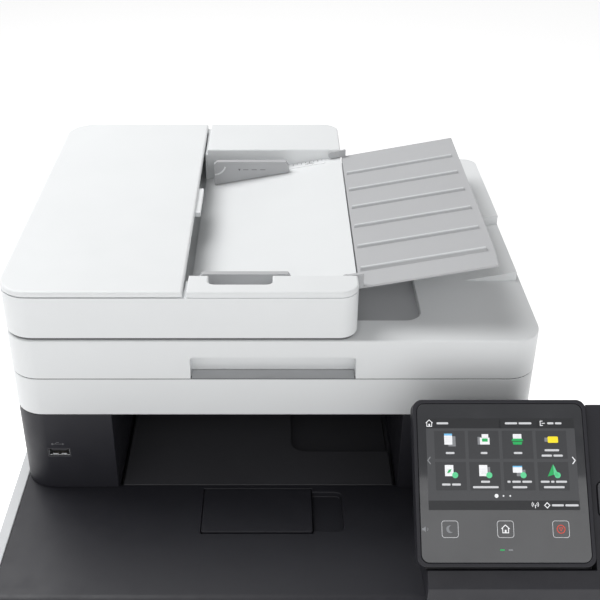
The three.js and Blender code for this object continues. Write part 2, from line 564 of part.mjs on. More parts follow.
function tonerCartridges() {
  ['yellow', 'magenta', 'cyan', 'black'].forEach((colour, i) => {
    const y = CARTRIDGE.first + i * CARTRIDGE.pitch;
    const floor = DRAWER.bottom + WALL + GAP;
    const { long, high } = CARTRIDGE;
    const outline = shapeOf([[y, floor], [y + long - 12, floor], [y + long, floor + 20],
      [y + long, floor + high], [y + 14, floor + high], [y, floor + 30]]);
    piece(`toner_cartridge_${colour}`, prismX(outline, CARTRIDGE.x), rubber());
  });
}

function transferBelt() {
  const end = (BELT.z[1] - BELT.z[0]) / 2;
  piece('transfer_belt', prismX(rounded(BELT.y, BELT.z, Array(4).fill(end)), BELT.x), brown());
}

function engineRoller(name, { radius, span, shaft, ends, at }) {
  piece(name, join(rod('x', radius, span, at, 28), rod('x', shaft, ends, at, 12)), rubber());
}

function powerSupply() {
  piece('power_supply', box(SUPPLY.x, SUPPLY.y, SUPPLY.z), steel());
}

feet();
basePan();
sideFrame('left_frame', FRAME.left);
sideFrame('right_frame', FRAME.right);
sideCover('left_side_cover', [ENGINE.left, CORE.left - GAP], 0);
sideCover('right_side_cover', [CORE.right + GAP, ENGINE.right], SIDE_VENTS.count);
rearPanel();
rearCover();
powerInlet();
topCover();
outputStopper();
outputTray();
column('left_column', [CORE.left, BAY.left], [SCAN.corner, 0, 4, 4]);
column('right_column', [BAY.right, CORE.right], [0, SCAN.corner, 4, 4]);
usbPort();
exitHousing();
readerCase();
glass('platen_glass', PLATEN_GLASS);
glass('feeder_glass', STRIP_GLASS);
scanCarriage();
platenCover();
platenPad();
lidHinge('lid_hinge_left', LID_HINGE.middles[0]);
lidHinge('lid_hinge_right', LID_HINGE.middles[1]);
feederHousing();
feederCover();
feederRoller('pickup_roller', -104, 427, 9, 44);
feederRoller('feed_roller', -140, 426, 10, 150);
documentTray();
widthGuide('front_guide', DOC_Y - A4_HALF, -1);
widthGuide('rear_guide', DOC_Y + A4_HALF, 1);
touchPanel();
panelBase();
frontDoor('front_cover', FRONT_DOOR);
frontDoor('mp_tray', MP_DOOR);
cassetteBox();
cassetteInside();
laserUnit();
tonerDrawer();
tonerCartridges();
transferBelt();
Object.entries(ROLLERS).forEach(([name, sizes]) => engineRoller(name, sizes));
powerSupply();

export default copier;
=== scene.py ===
"""A compact desktop photocopier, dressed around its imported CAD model. Metres, +Z up."""
import json
import math

import bmesh
import bpy
from mathutils import Matrix, Vector


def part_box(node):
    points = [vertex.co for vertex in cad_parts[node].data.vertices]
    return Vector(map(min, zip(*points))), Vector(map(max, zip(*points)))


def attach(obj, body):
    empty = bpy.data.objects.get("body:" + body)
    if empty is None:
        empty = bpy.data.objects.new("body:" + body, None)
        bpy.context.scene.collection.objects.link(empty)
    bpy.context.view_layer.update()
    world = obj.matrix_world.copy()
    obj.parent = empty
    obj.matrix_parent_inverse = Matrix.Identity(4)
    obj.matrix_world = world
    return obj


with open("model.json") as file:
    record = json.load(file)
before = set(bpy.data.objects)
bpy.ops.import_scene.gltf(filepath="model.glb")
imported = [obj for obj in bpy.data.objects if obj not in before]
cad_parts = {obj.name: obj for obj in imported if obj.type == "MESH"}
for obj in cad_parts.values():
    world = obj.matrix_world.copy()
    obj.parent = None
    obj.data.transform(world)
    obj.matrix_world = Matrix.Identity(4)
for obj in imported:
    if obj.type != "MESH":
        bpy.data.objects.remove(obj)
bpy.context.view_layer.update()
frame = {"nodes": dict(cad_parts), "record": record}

MM = 0.001
NODES = frame["nodes"]


# -------- camera, lights, floor
def set_camera():
    """The photograph's view: level, looking down 31 degrees, its optical axis left of the middle."""
    camera = bpy.data.objects.new("camera", bpy.data.cameras.new("camera"))
    camera.location = (-0.0194, -0.7445, 0.822)
    camera.rotation_euler = (math.radians(90 - 30.9), 0, 0)
    camera.data.sensor_width = 36
    camera.data.lens = 60.9
    camera.data.shift_x = 0.0383
    camera.data.clip_start = 0.01
    bpy.context.scene.collection.objects.link(camera)
    bpy.context.scene.camera = camera


def area_light(name, place, target, size, watts):
    light = bpy.data.lights.new(name, "AREA")
    light.shape = "RECTANGLE"
    light.size, light.size_y = size
    light.energy = watts
    lamp = bpy.data.objects.new(name, light)
    lamp.location = place
    lamp.rotation_euler = (Vector(target) - Vector(place)).to_track_quat("-Z", "Y").to_euler()
    bpy.context.scene.collection.objects.link(lamp)


SKY = {"From Min": 0.16, "From Max": 0.5, "To Min": 0.8, "To Max": 0.24}


def set_light():
    """A pale sky that darkens with height, and three soft lights."""
    world = bpy.data.worlds.new("studio")
    world.use_nodes = True
    tree = world.node_tree
    sky = tree.nodes["Background"]
    sky.inputs["Color"].default_value = (1, 1, 1, 1)
    way = tree.nodes.new("ShaderNodeSeparateXYZ")
    tree.links.new(tree.nodes.new("ShaderNodeTexCoord").outputs["Generated"], way.inputs["Vector"])
    fade = tree.nodes.new("ShaderNodeMapRange")
    tree.links.new(way.outputs["Z"], fade.inputs["Value"])
    for key, value in SKY.items():
        fade.inputs[key].default_value = value
    tree.links.new(fade.outputs["Result"], sky.inputs["Strength"])
    bpy.context.scene.world = world
    area_light("top_light", (-0.75, 0.5, 1.75), (0, 0, 0.4), (1.1, 1.1), 22)
    area_light("front_light", (0.1, -1.4, 1.37), (0.1, -0.172, 0.34), (2.4, 0.5), 5.2)
    area_light("low_light", (-0.05, -1.7, 0.6), (-0.05, 0, 0.3), (1.2, 0.5), 0.7)
    view = bpy.context.scene.view_settings
    view.view_transform = "Standard"
    view.look = "None"


def set_floor():
    bpy.ops.mesh.primitive_plane_add(size=40)
    floor = bpy.context.object
    floor.name = "floor"
    paint = Paint("floor_paint")
    paint.set(Base_Color=(0.86, 0.86, 0.86, 1), Roughness=0.9)
    paint.set(Emission_Color=(1, 1, 1, 1), Emission_Strength=0.62)
    floor.data.materials.append(paint.material)


# -------- materials
def linear(level):
    """One sRGB channel, 0 to 255, as linear light."""
    c = level / 255
    return c / 12.92 if c <= 0.04045 else ((c + 0.055) / 1.055) ** 2.4


def rgb(red, green, blue):
    return tuple(linear(c) for c in (red, green, blue)) + (1,)


class Paint:
    """A node material under construction: a Principled shader fed in object coordinates."""

    def __init__(self, name):
        self.material = bpy.data.materials.new(name)
        self.material.use_nodes = True
        self.tree = self.material.node_tree
        self.shader = self.tree.nodes["Principled BSDF"]
        self.place = self.tree.nodes.new("ShaderNodeTexCoord").outputs["Object"]

    def feed(self, socket, value):
        """Links another node's output to a socket, or sets its number or colour."""
        if isinstance(value, bpy.types.NodeSocket):
            self.tree.links.new(value, socket)
        else:
            socket.default_value = value

    def node(self, kind, values, **settings):
        made = self.tree.nodes.new(kind)
        for key, value in settings.items():
            setattr(made, key, value)
        for key, value in values.items():
            self.feed(made.inputs[key], value)
        return made

    def set(self, **values):
        for key, value in values.items():
            self.feed(self.shader.inputs[key.replace("_", " ")], value)
        return self

    def noise(self, per_metre, detail=2.0, rough=0.5):
        return self.node("ShaderNodeTexNoise", {"Vector": self.place, "Scale": per_metre,
                                                "Detail": detail, "Roughness": rough}).outputs["Fac"]

    def spread(self, value, low, high, start=0.3, end=0.7):
        return self.node("ShaderNodeMapRange", {"Value": value, "From Min": start, "From Max": end,
                                                "To Min": low, "To Max": high}).outputs["Result"]

    def mix(self, factor, first, second):
        """A mix of two colours. The node's sockets share their names, so they go by number."""
        return self.node("ShaderNodeMix", {0: factor, 6: first, 7: second}, data_type="RGBA").outputs[2]

    def bump(self, height, distance):
        values = {"Height": height, "Distance": distance, "Strength": 1.0}
        return self.node("ShaderNodeBump", values).outputs["Normal"]


def scaled(colour, factor):
    return tuple(min(1.0, c * factor) for c in colour[:3]) + (1,)


def moulded(name, colour, roughness=0.45, grain=1500, depth=0.00003, shift=0.03, wear=0.06, gloss=0.5):
    """Moulded plastic: spark-eroded grain, slow colour drift, and gloss that varies with handling."""
    paint = Paint(name)
    drift = paint.noise(14, 3)
    tone = paint.mix(paint.spread(drift, 0, 1), scaled(colour, 1 - shift), scaled(colour, 1 + shift))
    handling = paint.noise(55, 4, 0.6)
    texture = paint.noise(grain, 1.5)
    return paint.set(Base_Color=tone, Normal=paint.bump(texture, depth), Specular_IOR_Level=gloss,
                     Roughness=paint.spread(handling, roughness - wear, roughness + wear)).material


def sheet_metal(name, colour=(0.56, 0.57, 0.58, 1), roughness=0.34):
    """Galvanised sheet: pale crystals over a fine rolling grain."""
    paint = Paint(name)
    crystal = paint.node("ShaderNodeTexVoronoi", {"Vector": paint.place, "Scale": 160.0}).outputs["Color"]
    value = paint.node("ShaderNodeSeparateColor", {"Color": crystal}).outputs["Red"]
    tone = paint.mix(paint.spread(value, 0, 1, 0, 1), scaled(colour, 0.82), scaled(colour, 1.1))
    normal = paint.bump(paint.noise(2500, 2), 0.00001)
    return paint.set(Base_Color=tone, Normal=normal, Metallic=1.0,
                     Roughness=paint.spread(value, roughness - 0.06, roughness + 0.1, 0, 1)).material


def soft_rubber(name, colour, grain=1100):
    paint = Paint(name)
    tone = paint.mix(paint.spread(paint.noise(90, 3), 0, 1), scaled(colour, 0.8), scaled(colour, 1.3))
    return paint.set(Base_Color=tone, Normal=paint.bump(paint.noise(grain, 2), 0.00006),
                     Roughness=paint.spread(paint.noise(70), 0.72, 0.9)).material


def clear_glass(name):
    paint = Paint(name)
    dust = paint.spread(paint.noise(420, 3), 0.0, 0.05, 0.55, 0.8)
    tint = (0.9, 0.97, 0.95, 1)
    return paint.set(Base_Color=tint, Transmission_Weight=1.0, IOR=1.5, Roughness=dust).material


def screen_glass(name):
    """Smoked cover glass: dark, with a hard gloss and faint finger marks."""
    paint = Paint(name)
    smudge = paint.spread(paint.noise(60, 4, 0.6), 0.07, 0.2, 0.45, 0.75)
    tone = paint.mix(paint.spread(paint.noise(25), 0, 1), rgb(58, 59, 62), rgb(64, 65, 68))
    return paint.set(Base_Color=tone, Roughness=smudge, Coat_Weight=0.6, Coat_Roughness=0.04).material


def plain_ink(name, colour, glow=0.0):
    """Printed or lit mark, with the slight unevenness of a screen."""
    paint = Paint(name)
    tone = paint.mix(paint.spread(paint.noise(900), 0, 1), scaled(colour, 0.95), scaled(colour, 1.0))
    paint.set(Base_Color=tone, Roughness=paint.spread(paint.noise(500), 0.3, 0.4))
    if glow:
        paint.set(Emission_Color=tone, Emission_Strength=glow)
    return paint.material


# Keyed by plain names, because Blender numbers a new material whose name is taken.
PAINTS = {paint.name.split(".")[0]: paint for paint in (
    moulded("white_plastic", rgb(236, 238, 239), 0.38, depth=0.00002, shift=0.008),
    moulded("side_grey", rgb(213, 215, 217), 0.48, depth=0.00002, shift=0.01),
    moulded("black_plastic", rgb(40, 40, 46), 0.46, grain=1300, depth=0.00005, shift=0.05, gloss=0.42),
    moulded("dark_plastic", rgb(70, 70, 74), 0.42, grain=1700, depth=0.00004, shift=0.05),
    # The document tray's plastic is near white; tray_grey is darkened as painted shade for the shadow of a
    # hand and paper over the tray, and every part in this paint carries it.
    moulded("tray_grey", rgb(186, 187, 189), 0.5, depth=0.00002, shift=0.015),
    moulded("pad_white", rgb(240, 240, 238), 0.75, grain=700, depth=0.00008, shift=0.01),
    sheet_metal("steel"),
    sheet_metal("power_case", (0.62, 0.63, 0.65, 1), 0.4),
    soft_rubber("rubber", rgb(38, 38, 40)),
    soft_rubber("roller_rubber", rgb(70, 70, 74), 1600),
    clear_glass("glass"),
    screen_glass("panel_glass"),
    moulded("cartridge_plastic", rgb(44, 44, 46), 0.5, depth=0.00004),
    moulded("belt_film", rgb(72, 50, 36), 0.25, depth=0.00001),
)}

PAINT_GOLD = sheet_metal("contact_gold", (0.85, 0.6, 0.22, 1), 0.25)
# Grey for the strips in the seams under the feeder and the lid: painted shade in the gaps.
PAINT_SEAM_SHADE = moulded("seal_grey", rgb(104, 105, 107), 0.7, grain=900, depth=0.00004)
# Grey for the plate under the handle recess: painted shade where the lid overhangs the recess.
PAINT_RECESS_SHADE = moulded("rest_grey", rgb(186, 187, 189), 0.5, depth=0.00002)
PAINT_FAINT = plain_ink("faint_ink", rgb(120, 121, 124))
# Dark ink for printed scales and borders, also used as painted shade in the screws' cross recesses.
PAINT_INK_AND_SHADE = plain_ink("dark_ink", rgb(34, 35, 38))
PAINT_LAMP = plain_ink("lamp_white", rgb(240, 246, 250), 0.3)
PAINT_TOUCH = moulded("touch_green", rgb(52, 132, 96), 0.42, depth=0.00002)
TONERS = {"yellow": (236, 205, 40), "magenta": (190, 44, 110), "cyan": (38, 140, 196), "black": (24, 24, 26)}
PAINT_TONERS = {name: moulded("toner_" + name, rgb(*colour), 0.45) for name, colour in TONERS.items()}


# -------- CAD nodes
def round_edges(thing, width, steps, full=False):
    """Bevels sharp edges; full keeps the whole width where Blender's own clamp would thin it."""
    thing.data.polygons.foreach_set("use_smooth", [True] * len(thing.data.polygons))
    bevel = thing.modifiers.new("bevel", "BEVEL")
    bevel.width = width
    bevel.segments = steps
    bevel.limit_method = "ANGLE"
    bevel.angle_limit = math.radians(32)
    bevel.harden_normals = True
    bevel.use_clamp_overlap = not full
    bevel.loop_slide = not full


def soften(node, width, crown=0.0, steps=3):
    """Rounds a CAD node's edges by modifiers alone, so its own mesh stays as packed."""
    weld = node.modifiers.new("weld", "WELD")
    weld.merge_threshold = 0.00002
    flatten = node.modifiers.new("flatten", "DECIMATE")
    flatten.decimate_type = "DISSOLVE"
    flatten.angle_limit = math.radians(0.6)
    node.data.polygons.foreach_set("use_smooth", [True] * len(node.data.polygons))
    if crown:
        round_crown(node, crown)
    round_edges(node, width, steps, node.name in FULL_EDGE)
    close = node.modifiers.new("close", "WELD")
    close.merge_threshold = 0.000002
    even = node.modifiers.new("even_normals", "WEIGHTED_NORMAL")
    even.weight = 80
    even.keep_sharp = True


EDGE = {"white_plastic": 0.0009, "side_grey": 0.001, "black_plastic": 0.0007, "dark_plastic": 0.0006,
        "tray_grey": 0.0005, "pad_white": 0.0008, "steel": 0.0003, "power_case": 0.0006, "rubber": 0.001,
        "roller_rubber": 0.0005, "glass": 0.0003, "panel_glass": 0.0004, "cartridge_plastic": 0.001,
        "belt_film": 0.0004}


CROWN_LEVEL = {"platen_cover": 0.4048}
CROWN_SPARE = {"x": (0.02, 0.181), "y": (-0.081, 0.215)}
CROWN = {"feeder_cover": 0.0019, "feeder_housing": 0.0017, "platen_cover": 0.0016}
FULL_EDGE = {"left_side_cover", "right_side_cover", "left_column", "panel_base"}
WIDE_EDGE = {"reader_case": 0.0005, "panel_housing": 0.0011, "cassette_front": 0.0014,
             "front_cover": 0.0012, "mp_tray": 0.0012}


def round_crown(node, width, slack=0.00005):
    """Rounds the edges of a CAD node's upper face more than the rest, sparing the lid's hollow and ramps."""
    places = [node.matrix_world @ v.co for v in node.data.vertices]
    level = CROWN_LEVEL.get(node.name, max(place.z for place in places))
    crown = node.vertex_groups.new(name="crown")
    (x0, x1), (y0, y1) = CROWN_SPARE["x"], CROWN_SPARE["y"]
    rim = [i for i, place in enumerate(places) if abs(place.z - level) < slack
           and not (node.name == "platen_cover" and x0 < place.x < x1 and y0 < place.y < y1)]
    crown.add(rim, 1.0, "REPLACE")
    bevel = node.modifiers.new("crown_bevel", "BEVEL")
    bevel.width = width
    bevel.segments = 4
    bevel.limit_method = "VGROUP"
    bevel.vertex_group = crown.name
    bevel.harden_normals = True
    bevel.use_clamp_overlap = False


def dress_cad():
    slots = {row["node"]: row["material_slot"] for row in frame["record"]["subparts"]}
    for name, node in NODES.items():
        slot = slots[name]
        node.data.materials.clear()
        node.data.materials.append(PAINTS[slot])
        soften(node, WIDE_EDGE.get(name, EDGE[slot]), CROWN.get(name, 0.0))


# -------- shapes in mesh code
PUT = {"x": lambda a, b, t: (t, a, b), "y": lambda a, b, t: (a, t, b), "z": lambda a, b, t: (a, b, t)}


class Form:
    """Closed shapes in millimetres, in a frame of their own, gathered into one piece."""

    def __init__(self, place=None):
        self.frame = place or Matrix.Identity(4)
        self.mesh = bmesh.new()

    def skin(self, loops, closed=False):
        """Sides between loops of points; the ends are capped unless the last meets the first."""
        rings = [[self.mesh.verts.new(point) for point in loop] for loop in loops]
        pairs = list(zip(rings, rings[1:])) + ([(rings[-1], rings[0])] if closed else [])
        for low, high in pairs:
            for i in range(len(low)):
                j = (i + 1) % len(low)
                self.mesh.faces.new((low[i], low[j], high[j], high[i]))
        if not closed:
            self.mesh.faces.new(rings[0][::-1])
            self.mesh.faces.new(rings[-1])
        return self

    def prism(self, axis, outline, span):
        """An outline in the two other axes, drawn along 'x', 'y' or 'z'."""
        return self.skin([[PUT[axis](a, b, t) for a, b in outline] for t in span])

    def ring(self, axis, outer, inner, span):
        """The wall between two outlines with the same number of points."""
        low, high = span
        loops = ((outer, low), (outer, high), (inner, high), (inner, low))
        return self.skin([[PUT[axis](a, b, t) for a, b in line] for line, t in loops], closed=True)

    def block(self, x, y, z):
        return self.prism("z", [(x[0], y[0]), (x[1], y[0]), (x[1], y[1]), (x[0], y[1])], z)

    def rod(self, axis, radius, span, at, steps=24):
        return self.prism(axis, circle(*at, radius, steps), span)

    def turned(self, axis, profile, at, steps=24):
        """A turned solid from pairs of place along the axis and radius."""
        rings = [(t, circle(*at, radius, steps)) for t, radius in profile]
        return self.skin([[PUT[axis](a, b, t) for a, b in ring] for t, ring in rings])

    def stamp(self, place, outline, span):
        """An outline drawn along +Z of a frame of its own."""
        loops = [[place @ Vector((x * MM, y * MM, z * MM)) / MM for x, y in outline] for z in span]
        return self.skin(loops)

    def wire(self, points, radius, sides=8):
        """A round wire through the points."""
        points = [Vector(p) for p in points]
        loops = []
        side = None
        for i, point in enumerate(points):
            along = (points[min(i + 1, len(points) - 1)] - points[max(i - 1, 0)]).normalized()
            if side is None:
                side = along.orthogonal().normalized()
            side = (side - along * side.dot(along)).normalized()
            other = along.cross(side)
            turns = [j * math.tau / sides for j in range(sides)]
            loops.append([point + side * radius * math.cos(t) + other * radius * math.sin(t) for t in turns])
        return self.skin(loops)

    def piece(self, name, paint, body="engine", edge=0.0, steps=2):
        """Places the shapes as one piece on a body; paint is a slot's name or a material."""
        mesh = bpy.data.meshes.new(name)
        self.mesh.transform(self.frame @ Matrix.Scale(MM, 4))
        bmesh.ops.recalc_face_normals(self.mesh, faces=self.mesh.faces)
        self.mesh.to_mesh(mesh)
        self.mesh.free()
        made = bpy.data.objects.new(name, mesh)
        bpy.context.scene.collection.objects.link(made)
        made.data.materials.append(PAINTS[paint] if isinstance(paint, str) else paint)
        if edge:
            round_edges(made, edge * MM, steps)
        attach(made, body)
        return made


class Marks(Form):
    """Thin raised marks of one colour on a flat face."""

    def __init__(self, place, lift, thick=0.12):
        super().__init__(place)
        self.span = (lift - thick, lift)

    def area(self, outline):
        return self.prism("z", outline, self.span)

    def patch(self, x, y, wide, high):
        return self.area(rectangle(x, y, wide, high))

    def band(self, outer, inner):
        return self.ring("z", outer, inner, self.span)

    def rim(self, outer, inner):
        """The band between two soft rectangles round the origin, each a width, height and radius."""
        return self.band(soft_box(0, 0, *outer), soft_box(0, 0, *inner))

    def stroke(self, points, width):
        """A line of even width through the points, with mitred bends."""
        left, right = [], []
        for i, (x, y) in enumerate(points):
            ahead = Vector(points[min(i + 1, len(points) - 1)]) - Vector((x, y))
            behind = Vector((x, y)) - Vector(points[max(i - 1, 0)])
            turn = (ahead.normalized() + behind.normalized()).normalized()
            straight = ahead if ahead.length else behind
            reach = width / 2 / max(0.4, turn.dot(straight.normalized()))
            side = Vector((-turn.y, turn.x)) * reach
            left.append((x + side.x, y + side.y))
            right.append((x - side.x, y - side.y))
        return self.area(right + left[::-1])


TURNS = {"front": 0, "right": 90, "back": 180, "left": -90}


def facing(way, point):
    """A frame at a point in millimetres: +Z out of a face that looks that way, +Y up."""
    turn = Matrix.Rotation(math.radians(TURNS[way]), 4, "Z") @ Matrix.Rotation(math.radians(90), 4, "X")
    return Matrix.Translation(Vector(point) * MM) @ turn


def edges(node):
    """A CAD node's box at rest in millimetres: x, y and z, each from low to high."""
    return [(a / MM, b / MM) for a, b in zip(*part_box(node))]


def middle(span):
    return (span[0] + span[1]) / 2


def rectangle(x, y, wide, high):
    """Anticlockwise outline of a rectangle round the point (x, y)."""
    w, h = wide / 2, high / 2
    return [(x - w, y - h), (x + w, y - h), (x + w, y + h), (x - w, y + h)]


def between(x, y, inset=0):
    """The rectangle between two spans, drawn in by inset on each side."""
    return rectangle(middle(x), middle(y), x[1] - x[0] - 2 * inset, y[1] - y[0] - 2 * inset)


def around(x, y, radius, angle):
    return x + radius * math.cos(angle), y + radius * math.sin(angle)


def circle(x, y, radius, steps=28):
    return [around(x, y, radius, i * math.tau / steps) for i in range(steps)]


def arc(x, y, radius, start, end, steps=14):
    """Points along an arc, with its angles in degrees."""
    return [around(x, y, radius, math.radians(start + (end - start) * i / steps)) for i in range(steps + 1)]


def soft_box(x, y, wide, high, radius, steps=5):
    """Anticlockwise outline of a rectangle with round corners."""
    w, h = wide / 2 - radius, high / 2 - radius
    points = []
    for start, cx, cy in ((0, w, h), (90, -w, h), (180, -w, -h), (270, w, -h)):
        points += arc(x + cx, y + cy, radius, start, start + 90, steps)
    return points


# -------- touch screen
PANEL_TILT = Matrix.Rotation(math.radians(45), 4, "X")
GLASS_THICK = 1.7
BUTTON_THICK = 5.2
SCREEN = {"middle": 13.0, "wide": 109.0, "high": 66, "header": (42.4, 7.2), "status": (-16.7, 6.7)}
TILES = {"across": 24.8, "rows": (26.8, 4.1), "wide": 22.4, "high": 20.4}
KEYS = {"row": -33.5, "step": 39.8, "side": 12, "line": 0.35}
ARROWS = {"x": 52.4, "y": 15.4, "rise": 2.6}
LOUDSPEAKER = -57.8

# Each ink's height above the glass in millimetres, its glow and its colour.
INKS = {
    "back": (0.03, 0, (81, 82, 85)),
    "dark": (0.06, 0, (44, 45, 48)),
    "tile": (0.06, 0, (67, 68, 71)),
    "words": (0.12, 0.3, (204, 205, 208)),
    "white": (0.12, 0.4, (232, 233, 235)),
    "grey": (0.09, 0.15, (140, 142, 146)),
    "green": (0.15, 0.3, (38, 170, 92)),
    "mint": (0.18, 0.3, (96, 208, 148)),
    "blue": (0.15, 0.3, (120, 190, 232)),
    "yellow": (0.15, 0.35, (244, 222, 40)),
    "red": (0.15, 0.3, (214, 74, 56)),
}


def tilted_face(node, thick):
    """The middle of a sloping piece's front face, with +Y up the slope and +Z out of it."""
    low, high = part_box(node)
    return Matrix.Translation((low + high) / 2) @ PANEL_TILT @ Matrix.Translation((0, 0, thick / 2 * MM))


def screen_marks():
    """The lit screen: bars, tiles, dots and arrows, with bars in place of every word."""
    face = tilted_face("touch_glass", GLASS_THICK)
    marks = {name: Marks(face, lift) for name, (lift, glow, colour) in INKS.items()}
    header, status = SCREEN["header"][0], SCREEN["status"][0]
    marks["back"].patch(0, SCREEN["middle"], SCREEN["wide"], SCREEN["high"])
    for y, high in (SCREEN["header"], SCREEN["status"]):
        marks["dark"].patch(0, y, SCREEN["wide"], high)
    for x in (-0.2, 27.8):
        marks["tile"].patch(x, header, 0.5, 7)
    home_icon(marks["white"], -52, header + 0.2, 0.9)
    for x, widths in ((-42.3, (8.6,)), (13.4, (9, 9.4)), (40, (4.6, 4.8))):
        words(marks["words"], x, header + 0.1, widths)
    leave_icon(marks["white"], 31, header + 0.1)
    for name, x, way in (("grey", -53, -1), ("white", ARROWS["x"], 1)):
        y, rise = ARROWS["y"], ARROWS["rise"]
        marks[name].stroke([(x - way, y + rise), (x + way, y), (x - way, y - rise)], 0.7)
    for x, radius in ((-5.2, 1.4), (-0.2, 0.6), (4.7, 0.6)):
        marks["white"].area(circle(x, -10, radius))
    signal_icon(marks["white"], 22.4, status)
    diamond_icon(marks["white"], 31, status)
    words(marks["words"], 44, status, (8.6, 9.6))
    tiles(marks)
    keys(marks)
    for name, (lift, glow, colour) in INKS.items():
        ink = plain_ink("screen_" + name, rgb(*colour), glow)
        marks[name].piece("screen_" + name, ink, "panel")


def words(marks, x, y, widths):
    """Soft bars in place of words, side by side round the point (x, y)."""
    gap = 1.1
    start = x - (sum(widths) + gap * (len(widths) - 1)) / 2
    for width in widths:
        marks.area(soft_box(start + width / 2, y, width, 1.5, 0.6, 3))
        start += width + gap


def tiles(marks):
    """Eight tiles, each with an icon over one or two lines of bars."""
    labels = (((6.4,),), ((4.8,),), ((6.2,),), ((10.6,), (7.6, 6.8)),
              ((6.2, 6.4),), ((6.6,), (18.6,)), ((2.4, 6.2, 7), (10.4,)), ((6.4, 2.4, 8), (15,)))
    icons = (pages_icon, fax_icon, scan_icon, stick_icon, leaf_icon, page_icon, cards_icon, send_icon)
    for i, (label, icon) in enumerate(zip(labels, icons)):
        x = (i % 4 - 1.5) * TILES["across"] - 0.3
        y = TILES["rows"][i // 4]
        marks["tile"].patch(x, y, TILES["wide"], TILES["high"])
        icon(marks, x, y + 3.7)
        if i >= 4:
            marks["mint"].area(circle(x + 3, y + 0.7, 2.2))
        for j, widths in enumerate(label):
            words(marks["words"], x, y - 6 + (len(label) - 1) * 2 - j * 3.9, widths)


def sheet_of_lines(marks, x, y, wide, high, head=None):
    """A small page with grey lines and, if named, a coloured head."""
    marks["white"].patch(x, y, wide, high)
    if head:
        marks[head].patch(x, y + high / 2 - 0.7, wide, 1.4)
    for i in range(3):
        marks["words"].patch(x, y + 0.9 - i * 1.4, wide - 1.8, 0.35)


def pages_icon(marks, x, y):
    marks["grey"].patch(x + 1.6, y - 1.2, 5.4, 7.4)
    sheet_of_lines(marks, x - 1, y + 0.4, 5.8, 8, "blue")


def fax_icon(marks, x, y):
    marks["grey"].patch(x - 3.2, y - 0.8, 2.2, 5.6)
    marks["white"].patch(x + 0.9, y - 1, 7, 5)
    marks["white"].patch(x + 1.2, y + 2.8, 4.8, 2.4)
    marks["green"].patch(x + 1, y - 0.3, 4.2, 2.3)


def scan_icon(marks, x, y):
    sheet_of_lines(marks, x, y + 1.8, 6.2, 4.6)
    marks["green"].area([(x - 4.4, y - 1), (x + 4.4, y - 1), (x + 3.4, y + 0.8), (x - 3.4, y + 0.8)])
    marks["green"].area([(x - 3, y - 3.6), (x + 3, y - 3.6), (x + 3.6, y - 1.5), (x - 3.6, y - 1.5)])


def stick_icon(marks, x, y):
    marks["grey"].patch(x - 3.8, y, 2.2, 3)
    marks["yellow"].area(soft_box(x + 1.2, y, 7.6, 4.6, 0.8, 3))


def leaf_icon(marks, x, y):
    sheet_of_lines(marks, x - 1.2, y + 0.3, 6.2, 8)
    marks["green"].area([(x - 2.8, y - 1.6), (x - 0.6, y - 1), (x + 0.6, y + 1.4), (x - 1.6, y + 0.8)])


def page_icon(marks, x, y):
    marks["grey"].patch(x + 1.8, y - 0.6, 4, 7)
    sheet_of_lines(marks, x - 1.2, y + 0.3, 6, 8)


def cards_icon(marks, x, y):
    marks["white"].patch(x - 1.1, y + 1.2, 6.8, 4.8)
    marks["blue"].patch(x - 1.1, y + 3.2, 6.8, 1)
    marks["grey"].patch(x + 1.4, y - 1.4, 6.4, 4.6)


def send_icon(marks, x, y):
    marks["green"].area([(x - 4.2, y - 4), (x, y - 2.7), (x, y + 4.8)])
    marks["mint"].area([(x + 0.2, y - 2.7), (x + 4.2, y - 4), (x + 0.2, y + 4.8)])


def home_icon(marks, x, y, size):
    roof = [(-2.8, 0.1), (0, 2.6), (2.8, 0.1)]
    wall = [(-2, 0.6), (-2, -2.6), (2, -2.6), (2, 0.6)]
    for line in (roof, wall):
        marks.stroke([(x + px * size, y + py * size) for px, py in line], 0.55 * size)
    marks.patch(x, y - 1.5 * size, 1.2 * size, 1.8 * size)


def leave_icon(marks, x, y):
    marks.stroke([(x + 0.4, y + 1.6), (x - 1.4, y + 1.6), (x - 1.4, y - 1.6), (x + 0.4, y - 1.6)], 0.5)
    marks.stroke([(x - 0.4, y), (x + 2, y)], 0.5)


def signal_icon(marks, x, y):
    marks.stroke([(x, y + 0.4), (x, y - 2)], 0.5)
    for radius in (1.3, 2.4):
        marks.stroke(arc(x, y + 0.6, radius, -45, 45, 8), 0.4)
        marks.stroke(arc(x, y + 0.6, radius, 135, 225, 8), 0.4)


def diamond_icon(marks, x, y):
    outer, inner = ([(x + r, y), (x, y + r), (x - r, y), (x, y - r)] for r in (2.3, 1.5))
    marks.band(outer, inner)


def keys(marks):
    """Three touch keys, a loudspeaker mark and two state lamps under the screen."""
    row, step, side, line = KEYS["row"], KEYS["step"], KEYS["side"], KEYS["line"]
    for x in (-step, 0, step):
        inner = soft_box(x, row, side - 2 * line, side - 2 * line, 1.7)
        marks["words"].band(soft_box(x, row, side, side, 2), inner)
    marks["grey"].area(arc(-step, row, 2.7, 75, 300, 16) + arc(-step + 1.5, row + 0.3, 2.3, 285, 90, 16))
    home_icon(marks["white"], 0, row + 0.2, 1.05)
    marks["red"].band(circle(step, row, 3.1), circle(step, row, 2.5))
    marks["red"].band(*(arc(step, row + 0.2, radius, -90, 150, 2) for radius in (1.9, 1.1)))
    x = LOUDSPEAKER
    marks["grey"].area([(x - 2, row - 0.8), (x - 0.9, row - 0.8), (x + 0.5, row - 2), (x + 0.5, row + 2),
                        (x - 0.9, row + 0.8), (x - 2, row + 0.8)])
    marks["grey"].stroke(arc(x + 0.6, row, 1.5, -45, 45, 8), 0.35)
    for x, name in ((-3, "green"), (3, "grey")):
        marks[name].area(soft_box(x, -48, 3.4, 1, 0.45, 3))


